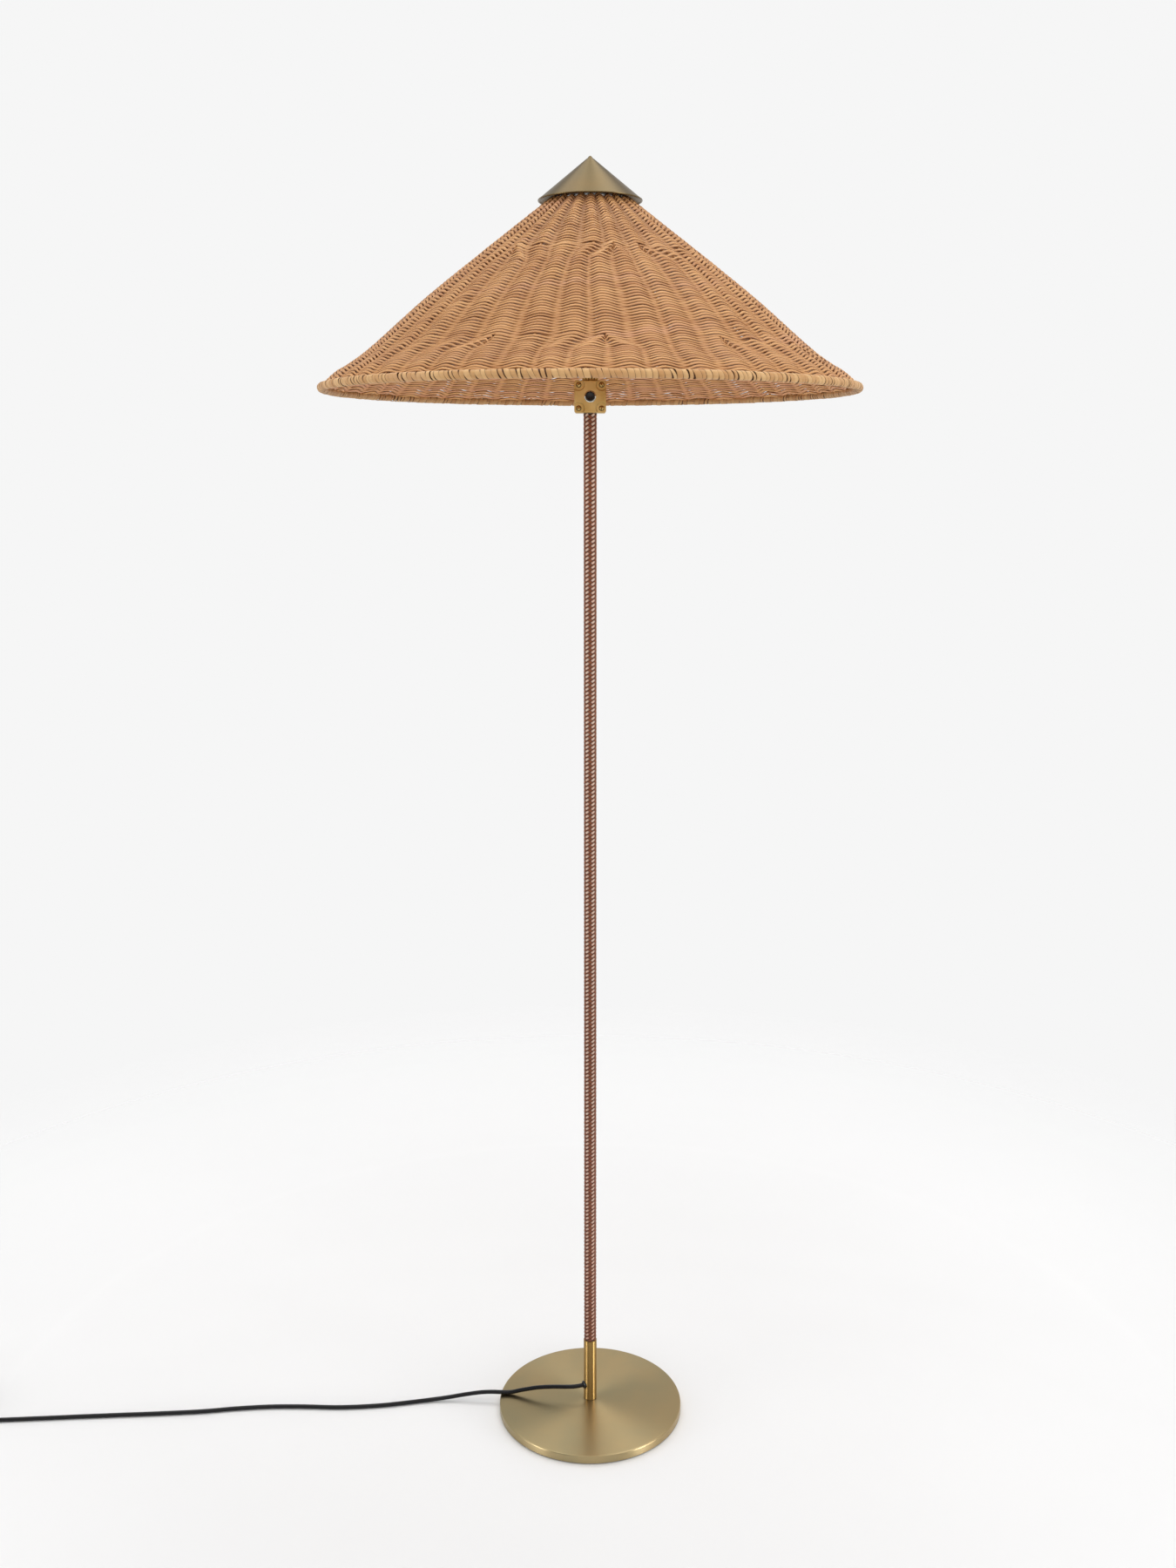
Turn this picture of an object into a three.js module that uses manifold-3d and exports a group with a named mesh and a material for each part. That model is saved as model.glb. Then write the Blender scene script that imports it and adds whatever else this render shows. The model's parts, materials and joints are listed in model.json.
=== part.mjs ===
// Rattan floor lamp: a wide woven shade with a brass cap, on a slim stem in a braided sleeve, with a
// brass switch box under the shade and a thin round base of spun brass.
// Millimetres, +Z up. The origin is on the floor, on the axis of the stem. The switch faces -Y and
// the cord leaves the foot towards -X.

import * as THREE from 'three';
import { mergeVertices } from 'three/addons/utils/BufferGeometryUtils.js';
import Module from 'manifold-3d';

const wasm = await Module();
wasm.setup();

// Driving sizes

const totalHeight = 1490;
const shadeRadius = 300; // outside of the wound rim
const shadeHeight = 249; // from the middle of the rim hoop to the tip of the cap
const capRadius = 58;
const capHeight = 47;
const switchDrop = 7.7; // from the middle of the rim hoop down to the middle of the switch box
const stemRadius = 7; // outside of the braided sleeve
const baseRadius = 112.5;
const cordDiameter = 5;

// Clearances

const fit = 0.3; // air between two pieces that touch or slide in one another
const overrun = 3; // how far a cutter runs past the material
const weldDistance = 0.001;

// Facets round a turned piece

const wideSides = 48;
const middleSides = 24;
const narrowSides = 16;
const wireSides = 6;

const rimHeight = totalHeight - shadeHeight;
const capRimHeight = totalHeight - capHeight;
const switchHeight = rimHeight - switchDrop;

const fullTurn = 2 * Math.PI;
const quarterTurn = Math.PI / 2;
const upward = new THREE.Vector3(0, 0, 1);

// Finishes

const finishes = {
  brass: { color: 0xb09a5c, roughness: 0.36, metalness: 1 },
  steel: { color: 0x9a9a98, roughness: 0.4, metalness: 1 },
  silver: { color: 0xc9c9c6, roughness: 0.22, metalness: 1 },
  iron: { color: 0x3c3b3a, roughness: 0.7, metalness: 0.8 },
  rattan: { color: 0xc39468, roughness: 0.62, metalness: 0 },
  paleRattan: { color: 0xcfae7d, roughness: 0.55, metalness: 0 },
  sleeve: { color: 0x85604c, roughness: 0.68, metalness: 0 },
  blackPlastic: { color: 0x111111, roughness: 0.35, metalness: 0 },
  blackRubber: { color: 0x161616, roughness: 0.6, metalness: 0 },
  felt: { color: 0x2b2a28, roughness: 0.95, metalness: 0 },
  opalGlass: { color: 0xf4f2ec, roughness: 0.2, metalness: 0 },
};

function piece(name, geometry, finish) {
  const mesh = new THREE.Mesh(geometry, new THREE.MeshStandardMaterial(finish));
  mesh.name = name;
  return mesh;
}

// Solids: welding, cutting and joining

function welded(geometry) {
  geometry.deleteAttribute('normal');
  geometry.deleteAttribute('uv');
  const merged = mergeVertices(geometry, weldDistance);
  const corners = merged.index.array;
  const kept = [];
  for (let i = 0; i < corners.length; i += 3) {
    const [a, b, c] = corners.slice(i, i + 3);
    if (a !== b && b !== c && c !== a) kept.push(a, b, c);
  }
  merged.setIndex(kept);
  return merged;
}

function solidOf(geometry) {
  const closed = welded(geometry);
  const vertProperties = Float32Array.from(closed.attributes.position.array);
  const triVerts = Uint32Array.from(closed.index.array);
  return new wasm.Manifold(new wasm.Mesh({ numProp: 3, vertProperties, triVerts }));
}

function geometryOf(solid) {
  const { vertProperties, triVerts } = solid.getMesh();
  const geometry = new THREE.BufferGeometry();
  geometry.setAttribute('position', new THREE.BufferAttribute(vertProperties, 3));
  geometry.setIndex(new THREE.BufferAttribute(triVerts, 1));
  return geometry;
}

function cut(body, ...cutters) {
  const start = solidOf(body);
  return geometryOf(cutters.reduce((left, cutter) => left.subtract(solidOf(cutter)), start));
}

function joined(first, ...others) {
  const start = solidOf(first);
  return geometryOf(others.reduce((sum, other) => sum.add(solidOf(other)), start));
}

// Forms

// A turned piece about Z. The outline lists [radius, height] anticlockwise; it either starts and ends
// on the axis or is closed on itself here.
function turned(outline, sides) {
  const onAxis = outline[0][0] === 0;
  const loop = onAxis ? outline : [...outline, outline[0]];
  const points = loop.map(([radius, height]) => new THREE.Vector2(radius, height));
  return welded(new THREE.LatheGeometry(points, sides).rotateX(quarterTurn));
}

// A plain turned ring between two radii and two heights
function ring(inner, outer, bottom, top, sides) {
  return turned([[inner, bottom], [outer, bottom], [outer, top], [inner, top]], sides);
}

// A full rod along Z between two heights
function rod(radius, bottom, top, sides) {
  return turned([[0, bottom], [radius, bottom], [radius, top], [0, top]], sides);
}

// Points on an arc round [centreX, centreY], both ends included
function arc(centreX, centreY, radius, from, to, steps) {
  return Array.from({ length: steps + 1 }, (_, i) => {
    const angle = from + ((to - from) * i) / steps;
    return [centreX + radius * Math.cos(angle), centreY + radius * Math.sin(angle)];
  });
}

// A flat outline drawn in XY and drawn out along Z from one height to another
function drawnOut(shape, bottom, top, arcSteps) {
  const options = { depth: top - bottom, bevelEnabled: false, curveSegments: arcSteps };
  return new THREE.ExtrudeGeometry(shape, options).translate(0, 0, bottom);
}

function polygon(points) {
  return new THREE.Shape(points.map(([x, y]) => new THREE.Vector2(x, y)));
}

function square(side, corner) {
  const half = side / 2;
  const inner = half - corner;
  const shape = new THREE.Shape();
  for (let i = 0; i < 4; i += 1) {
    const middle = new THREE.Vector2(inner, inner).rotateAround(new THREE.Vector2(), i * quarterTurn);
    shape.absarc(middle.x, middle.y, corner, i * quarterTurn, (i + 1) * quarterTurn);
  }
  return shape;
}

// A round wire or tube along a curve
function wire(curve, radius, sides, steps) {
  const section = polygon(arc(0, 0, radius, 0, fullTurn, sides).slice(0, sides));
  return new THREE.ExtrudeGeometry(section, { steps, extrudePath: curve });
}

function throughPoints(points) {
  const places = points.map(([x, y, z]) => new THREE.Vector3(x, y, z));
  return new THREE.CatmullRomCurve3(places, false, 'centripetal');
}

// A closed surface over loops of points, each loop joined to the next and the last to the first
function skinned(loops) {
  const sides = loops[0].length;
  const corner = (loop, side) => (loop % loops.length) * sides + (side % sides);
  const corners = [];
  for (let i = 0; i < loops.length; i += 1) {
    for (let j = 0; j < sides; j += 1) {
      corners.push(corner(i, j), corner(i + 1, j + 1), corner(i, j + 1));
      corners.push(corner(i, j), corner(i + 1, j), corner(i + 1, j + 1));
    }
  }
  const geometry = new THREE.BufferGeometry();
  geometry.setAttribute('position', new THREE.Float32BufferAttribute(loops.flat(2), 3));
  geometry.setIndex(corners);
  return geometry;
}

// A hexagonal nut with a plain bore
function hexNut(acrossFlats, bore, bottom, top) {
  const cornerRadius = acrossFlats / Math.sqrt(3);
  return cut(rod(cornerRadius, bottom, top, 6), rod(bore, bottom - overrun, top + overrun, narrowSides));
}

// Base: a spun brass disc over an iron weight, on a pad

const baseEdgeHeight = 10.5; // top of the disc at its edge
const baseCrown = 2.5; // how far the disc's top rises towards the middle
const baseSheet = 1.5;
const baseEdgeRound = 1.6;
const skirtLift = 0.8; // the skirt's lower edge above the floor
const padThickness = 1.5;
const padInset = 6;
const crownSteps = 3;
const edgeSteps = 2;

// Foot tube and what clamps it to the base

const footTubeRadius = 8;
const footTubeTop = 91.8; // above the floor
const seatMargin = 2; // flat of the disc's top round the tube
const footPlugHeight = 11;
const boltRadius = 4;
const boltHeadFlats = 13;
const boltHeadHeight = 4.6;
const boltEngagement = 8; // length of bolt in the plug
const washerRadius = 10;
const washerThickness = 1.6;
const recessRadius = 13;
const recessWeb = 2.8; // iron left over the recess

const cordExitHeight = 32;
const cordExitAngle = THREE.MathUtils.degToRad(25); // towards the front from -X
const grommetNeckWall = 0.8;
const grommetFlangeRadius = 4.7;
const grommetFlange = 1.7;

// Stem: a steel tube in a braided sleeve

const sleeveWall = 1.2;
const stemTubeWall = 1.4;
const stemEndAboveCord = 9; // clear height over the cord's hole
const leadRadius = 1.6;
const leadTurnShare = 0.5; // of its first reach that runs level
const leadSteps = 20;

const stemTubeRadius = stemRadius - sleeveWall - fit;
const stemBore = stemTubeRadius - stemTubeWall;
const footBore = stemTubeRadius + fit;
const cordRadius = cordDiameter / 2;
const grommetBore = cordRadius + fit;
const grommetNeck = grommetBore + grommetNeckWall;
const seatRadius = footTubeRadius + seatMargin;
const crownFoot = baseRadius - baseEdgeRound;
const baseTop = baseEdgeHeight + baseCrown;
const weightTop = baseTop - baseSheet - fit;
const recessTop = weightTop - recessWeb;
const boltHole = boltRadius + fit;
const boltHeadTop = recessTop - fit - washerThickness - fit;

// Height of the disc's top at a radius
function crownHeight(radius) {
  const share = Math.max(0, radius - seatRadius) / (crownFoot - seatRadius);
  return baseEdgeHeight + baseCrown * (1 - share * share);
}

// Points along the crown between two radii, lowered by a drop
function crownLine(from, to, drop) {
  return Array.from({ length: crownSteps + 1 }, (_, i) => {
    const radius = from + ((to - from) * i) / crownSteps;
    return [radius, crownHeight(radius) - drop];
  });
}

function baseCover() {
  const inside = baseRadius - baseSheet;
  const outline = [
    [inside, skirtLift],
    [baseRadius, skirtLift],
    ...arc(crownFoot, baseEdgeHeight - baseEdgeRound, baseEdgeRound, 0, quarterTurn, edgeSteps),
    ...crownLine(crownFoot, seatRadius, 0).slice(1),
    [boltHole, baseTop],
    [boltHole, baseTop - baseSheet],
    ...crownLine(seatRadius, crownFoot, baseSheet).slice(0, crownSteps),
    [inside, baseEdgeHeight - baseSheet],
  ];
  return turned(outline, wideSides);
}

function baseWeight() {
  const outside = baseRadius - baseSheet - fit;
  const bottom = padThickness + fit;
  const outline = [
    [recessRadius, bottom],
    [outside, bottom],
    ...crownLine(outside, seatRadius, baseSheet + fit),
    [boltHole, weightTop],
    [boltHole, recessTop],
    [recessRadius, recessTop],
  ];
  return turned(outline, wideSides);
}

function footBolt() {
  const head = rod(boltHeadFlats / Math.sqrt(3), boltHeadTop - boltHeadHeight, boltHeadTop, 6);
  const shankTop = baseTop + fit + boltEngagement;
  return joined(head, rod(boltRadius, boltHeadTop - boltHeadHeight / 2, shankTop, narrowSides));
}

// Turns a piece made along +Z into the direction in which the cord leaves the foot tube
function towardsCord(geometry) {
  const outward = new THREE.Vector3(-Math.cos(cordExitAngle), -Math.sin(cordExitAngle), 0);
  geometry.applyQuaternion(new THREE.Quaternion().setFromUnitVectors(upward, outward));
  return geometry.translate(0, 0, cordExitHeight);
}

function footTube() {
  const tube = ring(footBore, footTubeRadius, baseTop + fit, footTubeTop, middleSides);
  const hole = rod(grommetNeck + fit, 0, footTubeRadius + overrun, narrowSides);
  return cut(tube, towardsCord(hole));
}

function cordGrommet() {
  const flangeFoot = footTubeRadius + fit;
  const outline = [
    [grommetBore, footBore],
    [grommetNeck, footBore],
    [grommetNeck, flangeFoot],
    [grommetFlangeRadius, flangeFoot],
    [grommetFlangeRadius, flangeFoot + grommetFlange / 2],
    [grommetNeck, flangeFoot + grommetFlange],
    [grommetBore, flangeFoot + grommetFlange],
  ];
  return towardsCord(turned(outline, narrowSides));
}

function footPlug() {
  const bottom = baseTop + fit;
  return ring(boltHole, footBore - fit, bottom, bottom + footPlugHeight, middleSides);
}

// Switch box: a square brass box round the end of the stem, with a raised front plate

const boxSide = 35.2;
const boxDepth = 25.4;
const boxWall = 1.6;
const boxCorner = 2.5;
const boxPost = 7; // corner cut of the cavity, which leaves the screw posts
const plateThickness = 1.5;
const faceRise = 2.5; // the scooped face in front of the plate
const faceInset = 0.4;
const scoopRadius = 6;
const screwInset = 4.9;
const screwHeadRadius = 3;
const screwHeadHeight = 2.1;
const screwRimShare = 0.35; // of the head's height that stands upright
const screwDomeShares = [0.7, 0.85]; // of the head's radius and height, on its dome
const screwShankRadius = 1.2;
const screwShankLength = 8;
const stemNutFlats = 15;
const stemNutHeight = 4;
const threadStub = 1.2; // thread that stands past a nut
const cornerSteps = 4;
const scoopSteps = 8;

const boxHalf = boxSide / 2;
const boxFront = boxDepth / 2;
const plateBack = boxFront + fit;
const plateFront = plateBack + plateThickness;
const faceFront = plateFront + faceRise;
const screwPlace = boxHalf - screwInset;
const screwHole = screwShankRadius + fit;
const boxBottom = switchHeight - boxHalf;
const boxTop = switchHeight + boxHalf;

// Push switch in the middle of the face

const buttonRadius = 5.15;
const buttonRunning = 0.35; // air round the button
const buttonReach = 4.5; // the button's front above the face, at rest
const buttonSkirt = 1.2; // the cap's back below the face, at rest
const buttonEdge = 1.1;
const plungerRadius = 2.5;
const plungerLength = 7;
const bezelRadius = 6.65;
const bezelRise = 1.6;
const bezelEdge = 0.4;
const barrelWall = 0.65;
const barrelLength = 22;
const barrelBoreDepth = 15;
const switchNutFlats = 15;
const switchNutHeight = 2.5;

const bezelBore = buttonRadius + buttonRunning;
const barrelRadius = bezelBore + barrelWall;
const barrelBack = faceFront - barrelLength;
const barrelFloor = faceFront - barrelBoreDepth;
const buttonBack = faceFront - buttonSkirt;

function eachCorner(place) {
  return [[place, place], [-place, place], [-place, -place], [place, -place]];
}

function rodAt(x, y, radius, bottom, top) {
  return rod(radius, bottom, top, narrowSides).translate(x, y, 0);
}

function switchBox() {
  const inside = boxSide - 2 * boxWall;
  const half = inside / 2;
  const short = half - boxPost;
  const octagon = [
    [half, -short], [half, short], [short, half], [-short, half],
    [-half, short], [-half, -short], [-short, -half], [short, -half],
  ];
  const body = drawnOut(square(boxSide, boxCorner), -boxFront, boxFront, cornerSteps);
  const cavity = drawnOut(polygon(octagon), boxWall - boxFront, boxFront + overrun, cornerSteps);
  const wallTop = boxHalf + overrun;
  const stemHole = rod(stemTubeRadius + fit, 0, wallTop, middleSides).rotateX(quarterTurn);
  const nippleHole = rod(nippleRadius + fit, 0, wallTop, middleSides).rotateX(-quarterTurn);
  const shankEnd = plateFront - screwShankLength - fit;
  const holes = eachCorner(screwPlace).map(([x, y]) => {
    return rodAt(x, y, screwHole, shankEnd, boxFront + overrun);
  });
  return cut(body, cavity, stemHole, nippleHole, ...holes);
}

// The raised face: a square whose corners are scooped out round the screws
function scoopedSquare() {
  const half = boxHalf - faceInset;
  const across = half - screwPlace;
  const along = Math.sqrt(scoopRadius * scoopRadius - across * across);
  const shape = new THREE.Shape();
  eachCorner(screwPlace).forEach(([x, y], i) => {
    const turn = i * quarterTurn;
    const start = Math.atan2(-along, across) + turn;
    const end = Math.atan2(across, -along) + turn;
    shape.absarc(x, y, scoopRadius, start, end, true);
  });
  return shape;
}

function switchCover() {
  const plate = drawnOut(square(boxSide, boxCorner), plateBack, plateFront, cornerSteps);
  const face = drawnOut(scoopedSquare(), plateBack + plateThickness / 2, faceFront, scoopSteps);
  const window = rod(barrelRadius + fit, plateBack - overrun, faceFront + overrun, middleSides);
  const holes = eachCorner(screwPlace).map(([x, y]) => {
    return rodAt(x, y, screwHole, plateBack - overrun, plateFront + overrun);
  });
  return cut(joined(plate, face), window, ...holes);
}

function coverScrew() {
  const headFoot = plateFront + fit;
  const outline = [
    [0, plateFront - screwShankLength],
    [screwShankRadius, plateFront - screwShankLength],
    [screwShankRadius, headFoot],
    [screwHeadRadius, headFoot],
    [screwHeadRadius, headFoot + screwHeadHeight * screwRimShare],
    [screwHeadRadius * screwDomeShares[0], headFoot + screwHeadHeight * screwDomeShares[1]],
    [0, headFoot + screwHeadHeight],
  ];
  return turned(outline, narrowSides);
}

function switchBezel() {
  const foot = faceFront + fit;
  const outline = [
    [bezelBore, foot],
    [bezelRadius, foot],
    [bezelRadius, foot + bezelRise - bezelEdge],
    [bezelRadius - bezelEdge, foot + bezelRise],
    [bezelBore, foot + bezelRise],
  ];
  return turned(outline, middleSides);
}

function switchBody() {
  const outline = [
    [0, barrelBack],
    [barrelRadius, barrelBack],
    [barrelRadius, faceFront],
    [bezelBore, faceFront],
    [bezelBore, barrelFloor],
    [0, barrelFloor],
  ];
  return turned(outline, middleSides);
}

function switchNut() {
  const top = plateBack - fit;
  return hexNut(switchNutFlats, barrelRadius + fit, top - switchNutHeight, top);
}

function switchButton() {
  const front = faceFront + buttonReach;
  const outline = [
    [0, buttonBack - plungerLength],
    [plungerRadius, buttonBack - plungerLength],
    [plungerRadius, buttonBack],
    [buttonRadius, buttonBack],
    [buttonRadius, front - buttonEdge],
    [buttonRadius - buttonEdge / 3, front - buttonEdge / 3],
    [buttonRadius - buttonEdge, front],
    [0, front],
  ];
  return turned(outline, middleSides);
}

// Neck: the collar and the threaded nipple that carry the lamp holder

const collarRadius = 9.2;
const collarHeight = 12;
const collarFlutes = 16;
const collarFluteDepth = 0.8;
const collarFluteSteps = 4;
const nippleRadius = 5;
const nippleBore = 3.4;
const nippleNutFlats = 13;
const nippleNutHeight = 3.5;

const collarBottom = boxTop + fit;
const collarTop = collarBottom + collarHeight;

function knurledCollar() {
  const count = collarFlutes * collarFluteSteps;
  const points = Array.from({ length: count }, (_, i) => {
    const angle = (i / count) * fullTurn;
    const dip = (collarFluteDepth * (1 - Math.cos(angle * collarFlutes))) / 2;
    return [(collarRadius - dip) * Math.cos(angle), (collarRadius - dip) * Math.sin(angle)];
  });
  const body = drawnOut(polygon(points), collarBottom, collarTop, 1);
  const bore = rod(nippleRadius + fit, collarBottom - overrun, collarTop + overrun, middleSides);
  return cut(body, bore);
}

// Lamp holder and bulb

const holderCapFoot = 8; // radius of the cap's lower end
const holderCapHeight = 12;
const holderCapWall = 1.2;
const holderCapKneeShare = 0.55; // of the cap's height
const holderRadius = 17.5;
const holderHeight = 34;
const holderWell = 14.4; // radius of the well that takes the bulb
const holderFloor = 5;
const shoulderRadius = 20;
const shoulderHeight = 14; // above the holder's lower end
const shoulderThickness = 2;
const carrierThickness = 2; // flat ring of the shade's carrier
const carrierRingRadius = 26;
const clampRadius = 22.5;
const clampHeight = 7;
const threadSleeve = 0.6;
const threadSleeveHeight = 20;
const bulbCapRadius = 13;
const bulbCapHeight = 26;
const bulbTipRadius = 5;
const bulbTipHeight = 3;
const bulbRadius = 30;
const bulbNeckRadius = 14;
const bulbHeight = 82;
const glassWall = 1;
const bulbNeckAngle = THREE.MathUtils.degToRad(-36); // where the sphere meets the neck
const bulbSteps = 6;

const holderBottom = collarTop + holderCapHeight;
const shoulderTop = holderBottom + shoulderHeight + shoulderThickness;
const carrierBottom = shoulderTop + fit;
const carrierTop = carrierBottom + carrierThickness;
const wellFloor = holderBottom + holderFloor;
const bulbCapBottom = wellFloor + fit + bulbTipHeight;
const bulbCapTop = bulbCapBottom + bulbCapHeight;

function holderCap() {
  const bottom = collarTop + fit;
  const top = holderBottom - fit;
  const knee = bottom + (top - bottom) * holderCapKneeShare;
  const outline = [
    [nippleRadius + fit, bottom],
    [holderCapFoot, bottom],
    [holderRadius - holderCapWall, knee],
    [holderRadius, top],
    [holderRadius - holderCapWall, top],
    [holderRadius - 2 * holderCapWall, knee],
    [holderCapFoot, bottom + holderCapWall],
    [nippleRadius + fit, bottom + holderCapWall],
  ];
  return turned(outline, middleSides);
}

function holderShell() {
  const top = holderBottom + holderHeight;
  const shoulderBottom = holderBottom + shoulderHeight;
  const outline = [
    [0, holderBottom],
    [holderRadius, holderBottom],
    [holderRadius, shoulderBottom],
    [shoulderRadius, shoulderBottom],
    [shoulderRadius, shoulderTop],
    [holderRadius, shoulderTop],
    [holderRadius, top],
    [holderWell, top],
    [holderWell, wellFloor],
    [0, wellFloor],
  ];
  return turned(outline, middleSides);
}

function holderRing() {
  const bottom = carrierTop + fit;
  return ring(holderRadius + fit, clampRadius, bottom, bottom + clampHeight, middleSides);
}

function holderThread() {
  const outer = holderWell - fit;
  const bottom = wellFloor + fit;
  return ring(outer - threadSleeve, outer, bottom, bottom + threadSleeveHeight, middleSides);
}

function bulbCap() {
  const outline = [
    [0, bulbCapBottom - bulbTipHeight],
    [bulbTipRadius, bulbCapBottom - bulbTipHeight],
    [bulbCapRadius - threadSleeve, bulbCapBottom],
    [bulbCapRadius, bulbCapBottom + bulbTipHeight],
    [bulbCapRadius, bulbCapTop],
    [0, bulbCapTop],
  ];
  return turned(outline, middleSides);
}

// Outline of the bulb: a sphere over a neck that narrows to the cap
function bulbLine(inset) {
  const top = bulbCapTop + fit + bulbHeight;
  const centre = top - bulbRadius;
  const sphere = arc(0, centre, bulbRadius - inset, bulbNeckAngle, quarterTurn, bulbSteps);
  const neck = [bulbNeckRadius - inset, bulbCapTop + fit];
  return [neck, ...sphere.slice(0, bulbSteps), [0, top - inset]];
}

function bulbGlass() {
  const outer = bulbLine(0);
  const inner = bulbLine(glassWall).reverse();
  const points = [...inner, ...outer].map(([radius, height]) => new THREE.Vector2(radius, height));
  return welded(new THREE.LatheGeometry(points, middleSides).rotateX(quarterTurn));
}

function nipple() {
  const bottom = boxTop - boxWall - fit - nippleNutHeight - threadStub;
  const top = holderBottom - holderCapWall - threadStub;
  return ring(nippleBore, nippleRadius, bottom, top, narrowSides);
}

// Shade: the woven cone, its hoop and the welded carrier in it

const stakeReach = 2.7; // from the middle of the weave to its face, over a stake
const gapReach = 1; // the same, half way between two stakes
const sectors = 10; // round the cone, alike but for their unevenness
const firstStakes = 3; // in a sector, under the cap
const stakeSplits = [104, 260]; // ways down the slope at which each sector gains a stake
const stakeSpread = 60; // further way on which a new stake leaves its neighbour
const besideShare = 0.02; // of a sector, from a new stake to its neighbour at first
const unevenShare = 0.12; // of a stake's room, by which it can be off its even place
const openGapShare = 0.15; // of a sector, the room that gives a gap its full depth
const topRingRadius = 42.3;
const topRingRise = 0.6; // above the edge of the cap
const topRingWire = 2;
const weaveRows = 8;
const bindingRadius = 5.5;
const bindingWall = 1.6;
const bindingSlot = THREE.MathUtils.degToRad(12); // half of the seam that faces the weave
const bindingOuterSteps = 6;
const bindingInnerSteps = 8;
const hoopSides = 8;

// The weave's middle line, as shares of the way outward and downward from the top ring's wire to the
// hoop: straight to the knee, a little steeper below it, then flared on to the rim
const weaveLineShares = [
  [0, 0],
  [0.539, 0.53],
  [0.808, 0.822],
  [0.892, 0.896],
  [0.943, 0.935],
  [1, 1],
];

const hoopRadius = shadeRadius - bindingRadius;
const hoopWire = bindingRadius - bindingWall - 2 * fit;
const topRingHeight = capRimHeight + topRingRise;

function weaveLine() {
  const points = weaveLineShares.map(([outward, downward]) => {
    return new THREE.Vector2(
      topRingRadius + (hoopRadius - topRingRadius) * outward,
      topRingHeight + (rimHeight - topRingHeight) * downward,
    );
  });
  return new THREE.SplineCurve(points);
}

// Shares of a sector at which its stakes stand when it has that many, a little uneven
function evenShares(count, sector) {
  return Array.from({ length: count }, (_, i) => {
    return (i + 0.5 + unevenShare * Math.sin(4 * sector + 2 * i + count)) / count;
  });
}

// Shares of a sector at which its stakes stand at a way down the slope. A stake lies beside its
// neighbour down to its split and spreads out below it.
function stakeShares(sector, down) {
  return stakeSplits.reduce((shares, split, i) => {
    const even = evenShares(firstStakes + i + 1, sector);
    const neighbour = (7 * sector + even.length) % shares.length;
    const beside = [...shares];
    beside.splice(neighbour, 0, shares[neighbour] - besideShare);
    const spread = THREE.MathUtils.smoothstep(down, split, split + stakeSpread);
    return beside.map((share, j) => THREE.MathUtils.lerp(share, even[j], spread));
  }, evenShares(firstStakes, sector));
}

// A loop round the weave at a share of its line, on its outside (side 1) or its inside (side -1). It
// bulges over each stake and comes back half way to the next.
function weaveLoop(lineShare, side) {
  const line = weaveLine();
  const place = line.getPointAt(lineShare);
  const along = line.getTangentAt(lineShare);
  const down = lineShare * line.getLength();
  const at = (turns, reach) => {
    const angle = (turns / sectors) * fullTurn;
    const radius = place.x - along.y * reach * side;
    return [radius * Math.cos(angle), radius * Math.sin(angle), place.y + along.x * reach * side];
  };
  const stakes = Array.from({ length: sectors }, (_, sector) => {
    return stakeShares(sector, down).map((share) => sector + share);
  }).flat();
  return stakes.flatMap((stake, i) => {
    const next = i + 1 < stakes.length ? stakes[i + 1] : stakes[0] + sectors;
    const depth = Math.min((next - stake) / openGapShare, 1);
    const reach = THREE.MathUtils.lerp(stakeReach, gapReach, depth);
    return [at(stake, stakeReach), at((stake + next) / 2, reach)];
  });
}

// The weave runs from the top ring's wire to the hoop's binding, and clears the binding's flats too
function shadeWeave() {
  const length = weaveLine().getLength();
  const start = (topRingWire + fit) / length;
  const flatDrop = hoopRadius * (1 - Math.cos(Math.PI / wideSides));
  const end = 1 - (bindingRadius + fit + flatDrop) / length;
  const rows = Array.from({ length: weaveRows + 1 }, (_, i) => {
    return THREE.MathUtils.lerp(start, end, i / weaveRows);
  });
  const outside = rows.map((row) => weaveLoop(row, 1));
  const inside = rows.map((row) => weaveLoop(row, -1)).reverse();
  return skinned([...outside, ...inside]);
}

function rimHoop() {
  const sides = arc(hoopRadius, rimHeight, hoopWire, 0, fullTurn, hoopSides).slice(0, hoopSides);
  return turned(sides, wideSides);
}

function rimBinding() {
  const landing = weaveLine().getTangentAt(1);
  const seam = Math.atan2(-landing.y, -landing.x);
  const from = seam + bindingSlot;
  const to = seam - bindingSlot + fullTurn;
  const inner = bindingRadius - bindingWall;
  const outside = arc(hoopRadius, rimHeight, bindingRadius, from, to, bindingOuterSteps);
  const inside = arc(hoopRadius, rimHeight, inner, to, from, bindingInnerSteps);
  return turned([...outside, ...inside], wideSides);
}

// Carrier: a flat ring on the holder, three bent arms, the top ring and a bridge for the cap

const armCount = 3;
const armRadius = 38.5; // where the arms run up past the bulb
const armBend = 12;
const armSteps = 12;
const armFirstAngle = THREE.MathUtils.degToRad(30);
const topRingSides = 36;
const bridgeWidth = 12;
const bridgeThickness = 2;
const bridgeSink = 1; // how deep the bridge lies in the top ring's wire
const capScrewRadius = 1.9;
const capScrewLength = 14;
const capScrewHeadRadius = 4;
const capScrewHeadHeight = 2.5;

const bridgeBottom = topRingHeight + topRingWire - bridgeSink;
const bridgeTop = bridgeBottom + bridgeThickness;

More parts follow.
